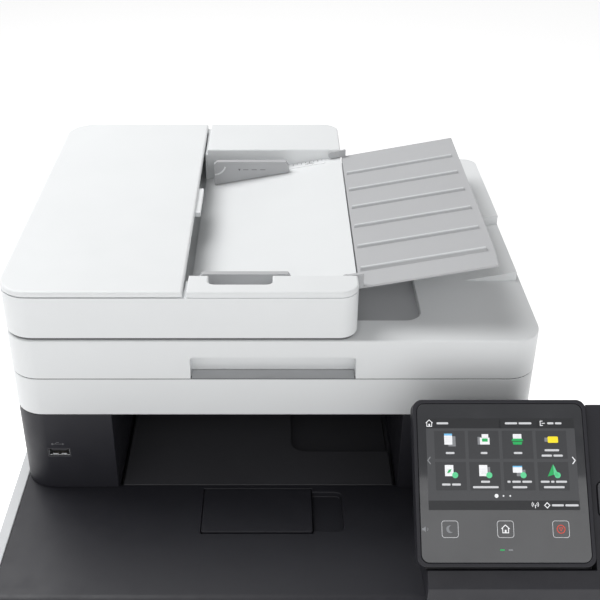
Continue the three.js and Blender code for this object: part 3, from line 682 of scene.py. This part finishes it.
def power_mark():
    """A plain on-off sign on the power key."""
    sign = Marks(tilted_face("power_button", BUTTON_THICK + 0.8), 0.14, 0.3)
    sign.stroke(arc(0, 0, 2.4, 125, 415, 24), 0.5)
    sign.stroke([(0, 0.6), (0, 3)], 0.5)
    sign.piece("power_mark", plain_ink("power_mark", rgb(190, 192, 196), 0.2), "power_button")


# -------- front and output bay
def usb_details():
    """The socket's tongue, contacts, shell springs and rim, and a plain sign above it."""
    (x0, x1), (y0, y1), (z0, z1) = edges("usb_port")
    x, z = middle((x0, x1)), middle((z0, z1))
    tongue = Form().block((x - 6, x + 6), (y0 + 1.2, y1 - 3.2), (z + 0.2, z + 2))
    tongue.piece("usb_tongue", "dark_plastic", edge=0.25)
    contacts, springs = Form(), Form()
    for i in range(4):
        place = x + (i - 1.5) * 2.5
        contacts.block((place - 0.5, place + 0.5), (y0 + 2, y0 + 9), (z - 0.1, z + 0.2))
    leaf = [(y0 + 0.4, z0 + 0.8), (y0 + 8, z0 + 0.8), (y0 + 5, z0 + 1.7), (y0 + 1, z0 + 1.4)]
    for place in (x - 3.4, x + 3.4):
        springs.prism("x", leaf, (place - 2.2, place + 2.2))
    contacts.piece("usb_contacts", PAINT_GOLD, edge=0.1)
    springs.piece("usb_springs", "steel", edge=0.1)
    outer, inner = soft_box(x, z, 18.6, 8.6, 0.9), soft_box(x, z, 16.8, 6.8, 0.6)
    Form().ring("y", outer, inner, (y0 - 1.1, y0 + 0.6)).piece("usb_rim", "dark_plastic", edge=0.2)
    sign = Marks(facing("front", (x, y0 - 1, z + 8.5)), 0.12, 0.3)
    sign.stroke([(-4.4, 0), (3.4, 0)], 0.4)
    sign.area([(3.2, -1), (5, 0), (3.2, 1)])
    sign.area(circle(-4.6, 0, 0.9, 16))
    sign.stroke([(-2.6, 0), (-1.2, 1.6), (0.8, 1.6)], 0.35)
    sign.piece("usb_sign", PAINT_FAINT)


def bay_details():
    """Exit pinch wheels and paper flags in the slot."""
    (x0, x1), (y0, y1), (z0, z1) = edges("exit_roller")
    y, z = middle((y0, y1)), middle((z0, z1))
    radius = (z1 - z0) / 2
    wheels, flags = Form(), Form()
    for i in range(4):
        x = x0 + (i + 0.5) * (x1 - x0) / 4
        wheels.turned("x", [(x - 3, 3.2), (x - 2.2, 4), (x + 2.2, 4), (x + 3, 3.2)], (y, z + radius + 4.3))
    wheels.piece("exit_pinch_wheels", "tray_grey", edge=0.3)
    wall = edges("exit_housing")[1][0]
    for x in (x0 + 70, x1 - 70):
        flags.prism("x", [(wall + 0.5, z + 9.4), (wall + 3.5, z + 9.4), (wall + 3, z + 3),
                          (wall - 2.5, z - 4.5), (wall - 4, z - 4), (wall - 0.5, z + 3)], (x - 2, x + 2))
    flags.piece("exit_flags", "dark_plastic", edge=0.4)


def stopper_details():
    """The two steel pins that the folding paper stopper turns on."""
    (x0, x1), (_, y1), (_, z1) = edges("output_stopper")
    pins = Form()
    for x in (x0 + 3, x1 - 3):
        pins.rod("x", 1.1, (x - 2.5, x + 2.5), (y1 - 1.9, z1 - 1.6), 16)
    pins.piece("stopper_pins", "steel", "output_stopper", 0.2)


# -------- feeder and lid
DECK_SLOPE = {"x": -88, "z": 416, "rise": 0.1852}


def on_slope(x, y, above=0):
    """A frame on the feeder's document deck: +X up the slope."""
    z = DECK_SLOPE["z"] + (x - DECK_SLOPE["x"]) * DECK_SLOPE["rise"] + above
    turn = Matrix.Rotation(-math.atan(DECK_SLOPE["rise"]), 4, "Y")
    return Matrix.Translation(Vector((x, y, z)) * MM) @ turn


def guide_details():
    """A quarter-round rib and a fill mark on each width guide, and a size scale behind them."""
    for name, way, side in (("rear_guide", "front", 1), ("front_guide", "back", -1)):
        (x0, x1), (y0, y1), (_, z1) = edges(name)
        inner = facing(way, (x0, y0, z1) if side > 0 else (x1, y1, z1))
        start = 0 if side > 0 else x1 - x0
        rib = Marks(inner, 0.45, 0.8)
        rib.stroke([(start + side * px, py - 2) for px, py in arc(0, 0, 11, -88, -16, 12)], 1.5)
        rib.piece(name + "_rib", "white_plastic", name, 0.25)
        mark = Marks(inner, 0.1, 0.3)
        for i in range(3):
            mark.patch(start + side * (30 + i * 8), -8, 5, 0.6)
        tip = start + side * 24
        mark.area([(tip, -9.4), (tip + 1.2, -7), (tip - 1.2, -7)])
        mark.piece(name + "_mark", PAINT_FAINT, name)
    spot = on_slope(10, edges("rear_guide")[1][1] + 2)
    plate = Marks(spot, 0.5, 0.8).area(soft_box(0, 0, 34, 11, 1.2))
    plate.piece("scale_plate", "white_plastic", "lid", 0.2)
    ticks = Marks(spot, 0.62, 0.2)
    for i in range(8):
        ticks.patch(-14 + i * 4, 2.6 if i % 2 else 1.8, 0.4, 2.4 if i % 2 else 4)
    for radius in (3, 4.6):
        ticks.stroke(arc(2, -4.4, radius, 20, 160, 12), 0.4)
    ticks.piece("scale_ticks", PAINT_FAINT, "lid")


FEEDER = {"floor": 411.8, "left": -214, "deck": -96}
COVER_RIBS = {"first": -64, "step": 31, "count": 9, "x": (-198, -106), "top": 443}


def pulley(form, lane, rim, bed, at, steps):
    """A wheel with two rims, along Y; the belt lies between them."""
    low, high = lane
    form.turned("y", [(low - 1, rim), (low - 0.2, rim), (low, bed), (high, bed), (high + 0.2, rim),
                      (high + 1, rim)], at, steps)


def belt(name, left, right, radii, steps, lane, body, thick):
    """A flat belt round two pulleys; radii are the belt's outer ones, left and right."""
    outer, inner = (arc(*right, radii[1] - t, -90, 90, steps) + arc(*left, radii[0] - t, 90, 270, steps)
                    for t in (0, thick))
    Form().ring("y", outer, inner, lane).piece(name, "rubber", body, 0.15)


def feeder_details():
    """Inside the feeder: curved paper ribs, a separation pad and the belt that drives both rollers."""
    feed = edges("feed_roller")
    floor, left, deck = FEEDER["floor"], FEEDER["left"], FEEDER["deck"]
    x, y = middle(feed[0]), middle(feed[1])
    throat = arc(x, middle(feed[2]), 12.2, -62, -150, 10)
    ribs = Form()
    for i in range(9):
        place = -78 + i * 29.5
        ribs.prism("y", [(left, floor), (deck, floor), (deck, 414.5), *throat, (-160, 423), (left, 424)],
                   (place - 1, place + 1))
    ribs.piece("feeder_ribs", "dark_plastic", "lid", 0.3)
    pad = Form().block((x - 2, x + 26), (y - 22, y + 22), (floor, 413.6))
    pad.piece("separation_pad", "roller_rubber", "lid", 0.5)
    lane = (feed[1][1] - 12, feed[1][1] - 6)
    spots = []
    for name, radius in (("feed_roller", 6.0), ("pickup_roller", 5.4)):
        span = edges(name)
        at = (middle(span[0]), middle(span[2]))
        spots.append(at)
        wheel = Form()
        pulley(wheel, lane, radius + 1, radius - 0.4, at, 30)
        for spot in circle(*at, 3.6, 5):
            wheel.rod("y", 0.9, (lane[1] + 0.9, lane[1] + 1.8), spot, 10)
        wheel.piece(name + "_pulley", "tray_grey", name, 0.2)
    belt("feeder_belt", *spots, (6.8, 6.2), 14, (lane[0] + 0.3, lane[1] - 0.3), "lid", 1)
    (x0, x1), top = COVER_RIBS["x"], COVER_RIBS["top"]
    spines = Form()
    for i in range(COVER_RIBS["count"]):
        y = COVER_RIBS["first"] + i * COVER_RIBS["step"]
        spines.prism("y", [(x0, top), (x1, top), (x1, top - 2.2), (x1 - 18, top - 3.6), (x0 + 18, top - 3.6),
                           (x0, top - 2)], (y - 0.8, y + 0.8))
    spines.piece("feeder_cover_ribs", "white_plastic", "feeder_cover", 0.25)
    hook = edges("feeder_cover")[0][1] - 10
    latch = Form()
    for y in (-72, 190):
        latch.prism("y", [(hook - 6, top), (hook, top), (hook, top - 5.5), (hook + 2.5, top - 6.6),
                          (hook, top - 8.2), (hook - 3, top - 7)], (y - 3, y + 3))
    latch.piece("feeder_cover_latches", "tray_grey", "feeder_cover", 0.4)


def trim(x, y, radii, inset, steps=8):
    """A rectangle's outline drawn in by inset, its corners' radii given from front left, anticlockwise."""
    signs = ((1, 1), (-1, 1), (-1, -1), (1, -1))
    points = []
    for i, ((sx, sy), radius) in enumerate(zip(signs, radii)):
        cx, cy = x[sx < 0] + sx * radius, y[sy < 0] + sy * radius
        points += arc(cx, cy, radius - inset, (180 + 90 * i) % 360, (180 + 90 * i) % 360 + 90, steps)
    return points


CORNER = {"lid": 24, "back": 6, "feeder": 14.5}
HANDLE = {"x": (-85, 40.2), "deep": 12.4}
HOLLOW = {"x": (25.3, 93.2), "y": (-77.9, 159.6), "deep": 6.2}
TRAY_RIBS = {"first": -61.4, "step": 36, "count": 6, "x": (45, 139.4)}


def seam_and_rib_details():
    """Grey rings in the seams under the feeder and the lid, and a grey plate in the handle recess, all
    painted shade; the paper hollow's floor; lighter ridges on the tray's ribs as painted highlight.
    """
    body, lid, reader = edges("feeder_housing"), edges("platen_cover"), edges("reader_case")
    top = CROWN_LEVEL["platen_cover"] / MM
    # Grey ring just inside the feeder's seam: painted shade in the gap under the feeder.
    radii = (CORNER["lid"], CORNER["feeder"], CORNER["feeder"], CORNER["lid"])
    outer, inner = (trim(body[0], body[1], radii, inset) for inset in (1.6, 5))
    seam_shade_ring = Form().ring("z", outer, inner, (top + 0.1, top + 2.6))
    seam_shade_ring.piece("feeder_seal", PAINT_SEAM_SHADE, "lid", 0.2)
    # Grey ring in the seam between lid and reader: painted shade in that gap.
    low, high = reader[2][1] - 0.1, reader[2][1] + 0.7
    y = (lid[1][0], reader[1][1])
    radii = (CORNER["lid"], CORNER["lid"], CORNER["back"], CORNER["back"])
    outer, inner = (trim(lid[0], y, radii, inset) for inset in (0.4, 4.2))
    Form().ring("z", outer, inner, (low, high)).piece("lid_seal", PAINT_SEAM_SHADE, edge=0.1)
    # A grey plate on the reader's top under the handle recess: painted shade in the shadowed recess.
    rest = Form().block(HANDLE["x"], (y[0] + 0.5, y[0] + HANDLE["deep"]), (low, high + 0.05))
    rest.piece("finger_rest", PAINT_RECESS_SHADE, edge=0.15)
    deep = top - HOLLOW["deep"]
    floor = Form().block(HOLLOW["x"], HOLLOW["y"], (deep, deep + 0.7))
    floor.piece("document_floor", "tray_grey", "lid", 0.2)
    rise = DECK_SLOPE["rise"]
    foot = (DECK_SLOPE["z"] - DECK_SLOPE["x"] * rise) * MM
    # Lighter ridges on the tray's ribs: real raised shape, and their paler grey is painted highlight along
    # the rib tops.
    rib_highlights = Form(Matrix(((1, 0, 0, 0), (0, 1, 0, 0), (rise, 0, 1, foot), (0, 0, 0, 1))))
    for i in range(TRAY_RIBS["count"]):
        y = TRAY_RIBS["first"] + i * TRAY_RIBS["step"]
        rib_highlights.prism("x", [(y - 1.2, 1.2), (y + 1.2, 1.2), (y + 1.1, 2.1), (y + 0.6, 2.5), (y - 0.6, 2.5),
                         (y - 1.1, 2.1)], TRAY_RIBS["x"])
    rib_highlights.piece("tray_rib_caps", "side_grey", "document_tray", 0.3)


SPRING = {"y": 227.5, "drop": 5.5, "radius": 3.5, "length": 2.2, "wire": 0.32, "turns": 3.5, "steps": 16}


def lid_details():
    """A short coil spring at each end of the lid's hinge pins."""
    radius, steps = SPRING["radius"], SPRING["steps"]
    count = int(SPRING["turns"] * steps)
    for side in ("left", "right"):
        (x0, x1), _, (_, top) = edges("lid_hinge_" + side)
        for end, x in (("left", x0 - 2.7), ("right", x1 + 0.5)):
            turns = [(x + SPRING["length"] * i / count, i / steps * math.tau) for i in range(count + 1)]
            coil = [(px, *around(SPRING["y"], top - SPRING["drop"], radius, angle)) for px, angle in turns]
            Form().wire(coil, SPRING["wire"]).piece(f"lid_spring_{side}_{end}", "steel", "lid")


# -------- reader
BELT_LEVEL = 351


def reader_details():
    """Scale and borders round the glass, and the carriage's lamp, lens, shoes, belt and pulleys."""
    (x0, x1), (y0, y1), (_, z1) = edges("platen_glass")
    strip, case = edges("feeder_glass"), edges("reader_case")
    ticks = Marks(Matrix.Translation((0, 0, case[2][1] * MM)), 0.1, 0.3)
    for i in range(22):
        ticks.patch(x0 - 2.2, y1 - i * 10, 2.6 if i % 5 else 4.6, 0.4)
    for i in range(32):
        ticks.patch(x0 + i * 10, y1 + 2.6, 0.4, 2.6 if i % 5 else 4.6)
    ticks.area([(x0 - 1.5, y1 + 1.5), (x0 - 7.5, y1 + 4), (x0 - 4, y1 + 7.5)])
    ticks.piece("platen_scale", PAINT_INK_AND_SHADE)
    pane = Matrix.Translation((0, 0, z1 * MM))
    border = Marks(pane, 0.06, 0.2)
    border.band(between((x0, x1), (y0, y1), 0.5), between((x0, x1), (y0, y1), 4.5))
    border.piece("platen_border", PAINT_INK_AND_SHADE)
    white = Marks(pane, 0.06, 0.2)
    for end in (strip[1][0] + 3.5, strip[1][1] - 3.5):
        white.patch(middle(strip[0]), end, 17, 5)
    white.piece("strip_marks", "white_plastic")
    (x0, x1), (y0, y1), (_, z1) = edges("scan_carriage")
    base, span = z1 - 2.8, (y0 + 13, y1 - 51)
    lamp = [(x0 + 7.6, base), (x0 + 11.4, base), (x0 + 10.6, z1 - 0.7), (x0 + 8.4, z1 - 0.7)]
    Form().prism("y", lamp, span).piece("scan_lamp", PAINT_LAMP, "scan_carriage", 0.3)
    lens = [(x0 + 12.2, base), (x0 + 14.4, base), (x0 + 14.4, z1 - 2), (x0 + 12.2, z1 - 1.5)]
    Form().prism("y", lens, span).piece("scan_lens", "panel_glass", "scan_carriage", 0.2)
    shoes = Form()
    profile = [(z1 - 0.5, 3.6), (z1 + 1.2, 3.6), (z1 + 2, 2.8), (z1 + 2.2, 1.6)]
    for y in (y0 + 6, y1 - 8):
        shoes.turned("z", profile, (x0 + 11, y), 20)
    shoes.piece("carriage_shoes", "pad_white", "scan_carriage", 0.2)
    ends = [(case[0][0] + 12, BELT_LEVEL), (case[0][1] - 12, BELT_LEVEL)]
    lane = (y1 + 4, y1 + 9)
    belt("carriage_belt", *ends, (5, 5), 12, lane, "engine", 0.8)
    pulleys = Form()
    for end in ends:
        pulley(pulleys, lane, 5.4, 4, end, 24)
    pulleys.piece("carriage_pulleys", "tray_grey", edge=0.2)


# -------- behind the doors
def lattice(form, x, z, y, across, up, thick=1.6):
    """Crossed stiffening ribs on the back of a door, in the plane of X and Z."""
    for i in range(across):
        place = x[0] + (x[1] - x[0]) * i / (across - 1)
        form.prism("z", [(place - thick / 2, y[0]), (place + thick / 2, y[0]), (place + thick / 3, y[1]),
                         (place - thick / 3, y[1])], z)
    for i in range(up):
        place = z[0] + (z[1] - z[0]) * i / (up - 1)
        form.prism("x", [(y[0], place - thick / 2), (y[1], place - thick / 3), (y[1], place + thick / 3),
                         (y[0], place + thick / 2)], x)


DOOR_RIBS = (("front_cover", 14, 3, 12, 4), ("mp_tray", 12, 1.6, 9, 2))


def door_details():
    """Ribs on the backs of the two front doors, and the sheet guides of the multi-purpose tray."""
    for name, head, deep, across, up in DOOR_RIBS:
        (x0, x1), (_, y1), (z0, z1) = edges(name)
        ribs = Form()
        lattice(ribs, (x0 + 12, x1 - 12), (z0 + 8, z1 - head), (y1 - 0.1, y1 + deep), across, up)
        ribs.piece(name + "_ribs", "white_plastic", name, 0.3)
    guides = Form()
    sheet = middle(edges("cassette_lift_plate")[0])
    for side in (-1, 1):
        wall = sheet + side * 107
        guides.block((wall - 2, wall + 2), (y1 + 1.4, y1 + 8), (z0 + 9, z1 - 14))
        guides.block(sorted((wall, wall - side * 18)), (y1 + 1.4, y1 + 3), (z0 + 14, z1 - 22))
    guides.piece("mp_tray_guides", "dark_plastic", "mp_tray", 0.6)


def fascia():
    """The dark fascia behind both doors, with the sheet slot and the toner drawer's opening."""
    drawer, tray, front = edges("toner_drawer"), edges("cassette_tray"), edges("left_frame")[1][0]
    x = (edges("top_cover")[0][0] + 3, edges("top_cover")[0][1] - 3)
    sheet = middle(edges("cassette_lift_plate")[0])
    split = drawer[2][0] - 3
    low, high = tray[2][1] + 15, edges("front_cover")[2][1]
    slot = between((sheet - 111, sheet + 111), (low + 12, low + 30))
    y = (front - 7, front - 2)
    panel = Form().ring("y", between(x, (low, split)), slot, y)
    panel.ring("y", between(x, (split + 0.3, high)), between(drawer[0], drawer[2], -1), y)
    panel.piece("inner_fascia", "dark_plastic", edge=0.6)
    x, z = middle(drawer[0]), middle(drawer[2])
    plain = soft_box(x, z, drawer[0][1] - drawer[0][0] - 0.6, drawer[2][1] - drawer[2][0] - 0.6, 3)
    y = (front - 8.5, drawer[1][0] - 0.2)
    face = Form().ring("y", plain, soft_box(x, z - 2, 84, 22, 6), y)
    face.piece("drawer_front", "side_grey", edge=0.7)
    handle = Form().block((x - 40, x + 40), (y[0] + 2.4, y[1]), (z + 2, z + 7))
    handle.piece("drawer_handle", PAINT_TOUCH, edge=1.2, steps=3)
    roller, axis = Form(), (front + 7, low + 27)
    for x in (sheet - 22, sheet + 22):
        roller.turned("x", [(x - 14, 5), (x - 13, 6), (x + 13, 6), (x + 14, 5)], axis, 28)
    roller.piece("mp_feed_rollers", "roller_rubber", edge=0.4)
    shaft = Form().rod("x", 2.4, (sheet - 120, sheet + 120), axis, 20)
    shaft.piece("mp_feed_shaft", "steel", edge=0.3)


GEAR = {"teeth": 22, "root": 9.2, "tip": 11, "y": 40, "z": 24}


def toner_details():
    """A coloured grip strip, grip ridges and a drive gear on each cartridge."""
    for colour, paint in PAINT_TONERS.items():
        (x0, x1), (y0, y1), (z0, z1) = edges("toner_cartridge_" + colour)
        strip = [(y0 + 20, z1 - 0.3), (y1 - 10, z1 - 0.3), (y1 - 12, z1 + 1.6), (y0 + 22, z1 + 1.6)]
        Form().prism("x", strip, (x0 + 30, x1 - 30)).piece(f"toner_strip_{colour}", paint, edge=0.6)
        grips = Form()
        for i in range(6):
            y = y0 + 26 + i * 6
            grips.block((x0 + 8, x0 + 24), (y - 1, y + 1), (z1 - 0.2, z1 + 1.2))
        grips.piece(f"toner_grip_{colour}", "cartridge_plastic", edge=0.4)
        y, z, root, tip = y0 + GEAR["y"], z0 + GEAR["z"], GEAR["root"], GEAR["tip"]
        turns = [((i + step) * math.tau / GEAR["teeth"], radius) for i in range(GEAR["teeth"])
                 for step, radius in ((0, root), (0.3, tip), (0.6, tip), (0.8, root))]
        outline = [around(y, z, radius, angle) for angle, radius in turns]
        gear = Form().prism("x", outline, (x1 + 0.6, x1 + 4.2))
        gear.rod("x", 3.2, (x1 + 4.1, x1 + 5.4), (y, z), 20)
        gear.piece(f"toner_gear_{colour}", "tray_grey", edge=0.25)


GAUGE = (5, 27, 1.6)


def cassette_details():
    """The paper gauge in the front, the lifting plate's pad, floor ribs and the guides' green clips."""
    (_, x1), (y0, _), (z0, z1) = edges("cassette_front")
    face = facing("front", (x1 - 34, y0, middle((z0, z1))))
    Marks(face, 0.3, 0.9).rim((8, 30, 2.4), GAUGE).piece("paper_gauge_rim", "side_grey", "cassette", 0.3)
    window = Marks(face, 0.12, 0.5).area(soft_box(0, 0, *GAUGE))
    window.piece("paper_gauge_window", "panel_glass", "cassette", 0.1)
    Marks(face, 0.22, 0.2).patch(0, -5, 3.6, 1.6).piece("paper_gauge_level", PAINT_TOUCH, "cassette")
    lift, tray = edges("cassette_lift_plate"), edges("cassette_tray")
    sheet, back, top = middle(lift[0]), lift[1][1], lift[2][1]
    pad = Form().block((sheet - 22, sheet + 22), (back - 22, back - 6), (top - 0.2, top + 0.8))
    pad.piece("lift_pad", "roller_rubber", "cassette_lift_plate", 0.3)
    floor = tray[2][0] + 3
    ribs = Form()
    for i in range(7):
        x = tray[0][0] + 20 + i * 49
        if abs(x - sheet) > 118:
            ribs.block((x - 1, x + 1), (tray[1][0] + 14, tray[1][1] - 14), (floor - 0.1, floor + 1.2))
    ribs.piece("cassette_ribs", "dark_plastic", "cassette", 0.3)
    left, right, end = (edges(f"cassette_{name}_guide") for name in ("left", "right", "end"))
    sheet_end = middle(end[0])
    for name, span, x, y in (("left", left, (left[0][1] - 9, left[0][1] - 6), (-10, 10)),
                             ("right", right, (right[0][0] + 6, right[0][0] + 9), (-10, 10)),
                             ("end", end, (sheet_end - 9, sheet_end + 9), (end[1][0] + 3, end[1][0] + 6))):
        clip = Form().block(x, y, (span[2][0] + 4, span[2][0] + 16))
        clip.piece(f"cassette_{name}_guide_clip", PAINT_TOUCH, f"cassette_{name}_guide", 0.8, 3)


# -------- back and sides
CROSS = [(-1.9, -0.4), (-0.4, -0.4), (-0.4, -1.9), (0.4, -1.9), (0.4, -0.4), (1.9, -0.4), (1.9, 0.4),
         (0.4, 0.4), (0.4, 1.9), (-0.4, 1.9), (-0.4, 0.4), (-1.9, 0.4)]


def screws(name, way, spots, radius=3.2):
    """Pan-head screws on one face, each with a dark cross on its head as painted shade for the cross recess,
    which is not cut.
    """
    heads, slots = Form(), Form()
    for spot in spots:
        face = facing(way, spot)
        heads.stamp(face, circle(0, 0, radius, 24), (-0.6, 0.9))
        heads.stamp(face, circle(0, 0, radius * 0.72, 24), (0.8, 1.5))
        # A dark cross mark: painted shade standing in for the recess.
        slots.stamp(face, CROSS, (1.2, 1.56))
    heads.piece(name, "steel", edge=0.25)
    slots.piece(name + "_recesses", PAINT_INK_AND_SHADE)


PORTS = (("network_port", 150, (17, 15, 1), (13, 10.5, 0.6), 8),
         ("computer_port", 124, (14, 13, 1), (9, 8, 0.6), 4))


def port_details(left, back):
    """Two data ports in a bezel, each a steel shell round a dark opening with a row of pins."""
    for name, z, outer, inner, count in PORTS:
        face = facing("back", (left, back, z))
        Marks(face, 1.1, 2).rim(outer, inner).piece(name, "steel", edge=0.25)
        hole = Marks(face, 0.1, 1).area(soft_box(0, 0, *inner))
        hole.piece(name + "_inside", "dark_plastic")
        pins = Marks(face, 0.3, 0.4)
        for i in range(count):
            pins.patch((i - (count - 1) / 2) * 1.2, inner[1] / 2 - 2.6, 0.5, 3.2)
        pins.piece(name + "_pins", PAINT_GOLD)
    bezel = Marks(facing("back", (left, back, 137)), 0.6, 1.2).rim((34, 58, 4), (31, 55, 3))
    bezel.piece("port_bezel", "white_plastic", edge=0.3)


def wires(name, axis, span, spots):
    """A row of thin rods behind a vent."""
    screen = Form()
    for spot in spots:
        screen.rod(axis, 0.7, span, spot, 8)
    screen.piece(name, "dark_plastic")


def back_details():
    """Ports, screws, vent screen, mains inlet and the rear cover's ribs and hinges."""
    panel, door = edges("rear_panel"), edges("rear_cover")
    front, back = panel[1]
    port_details((panel[0][0] + door[0][0]) / 2, back)
    inset = 9
    xs = (panel[0][0] + inset, panel[0][1] - inset)
    zs = (panel[2][0] + inset, middle(panel[2]), panel[2][1] - inset)
    screws("rear_screws", "back", [(x, back, z) for x in xs for z in zs])
    start = panel[0][1] - 74
    wires("rear_vent_screen", "z", (112, 204), [(start + i * 56 / 21, front - 1.5) for i in range(22)])
    (x0, x1), (y0, y1), (z0, z1) = edges("power_inlet")
    x, z = middle((x0, x1)), middle((z0, z1))
    blades = Form()
    for bx, bz in ((x - 6, z - 1.5), (x + 6, z - 1.5), (x, z + 3)):
        blades.block((bx - 1, bx + 1), (y0 + 2.8, y1 - 4), (bz - 2.2, bz + 2.2))
    blades.piece("inlet_blades", "steel", edge=0.4)
    rim = Marks(facing("back", (x, back, z)), 1, 2.4).rim((32, 24, 3), (24.4, 16.4, 1.5))
    rim.piece("inlet_rim", "black_plastic", edge=0.4)
    (x0, x1), (y0, y1), (z0, z1) = door
    ribs = Form()
    lattice(ribs, (x0 + 10, x1 - 10), (z0 + 8, z1 - 20), (y0 + 0.1, y0 - 3.2), 8, 5)
    ribs.piece("rear_cover_ribs", "white_plastic", "rear_cover", 0.3)
    hinges = Form()
    for x in (x0 + 22, x1 - 22):
        hinges.rod("x", 2.2, (x - 9, x + 9), (y1 - 2.4, z0 - 0.4), 20)
    hinges.piece("rear_cover_hinges", "white_plastic", edge=0.4)


SIDE_GRIP = {"y": -20, "z": 49, "outer": (123, 33, 10.5), "inner": (119.6, 29.6, 8.8)}


def side_details():
    """The screen behind the side vents, and the screws and grip lip of each side cover."""
    inside = edges("right_side_cover")[0][0] - 1.2
    wires("side_vent_screen", "y", (52, 190), [(inside, 66 + i * 4.6) for i in range(16)])
    for way in ("left", "right"):
        side = way + "_side_cover"
        (x0, x1), (_, y1), (z0, z1) = edges(side)
        face = x0 if way == "left" else x1
        screws(side + "_screws", way, [(face, y1 - 10, z) for z in (z0 + 14, z1 - 16)], 2.8)
        lip = Marks(facing(way, (face, SIDE_GRIP["y"], SIDE_GRIP["z"])), 0.35, 0.9)
        lip.rim(SIDE_GRIP["outer"], SIDE_GRIP["inner"]).piece(side + "_grip_lip", "side_grey", edge=0.3)


def two_tone(name, shaft_radius):
    """Rubber on a roller's sleeve and steel on its shaft, by each face's distance from the axis."""
    node = NODES[name]
    low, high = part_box(name)
    axis = max(range(3), key=lambda i: high[i] - low[i])
    others = [i for i in range(3) if i != axis]
    node.data.materials.append(PAINTS["steel"])
    for face in node.data.polygons:
        away = math.hypot(*(face.center[i] - (low[i] + high[i]) / 2 for i in others))
        face.material_index = 1 if away < (shaft_radius + 0.4) * MM else 0


set_camera()
set_light()
set_floor()
dress_cad()
for roller, shaft in (("feed_roller", 3), ("pickup_roller", 3), ("exit_roller", 3), ("fuser_roller", 4),
                      ("pressure_roller", 4), ("cassette_pickup_roller", 4)):
    two_tone(roller, shaft)
screen_marks()
power_mark()
usb_details()
bay_details()
stopper_details()
guide_details()
feeder_details()
lid_details()
seam_and_rib_details()
reader_details()
door_details()
fascia()
toner_details()
cassette_details()
back_details()
side_details()
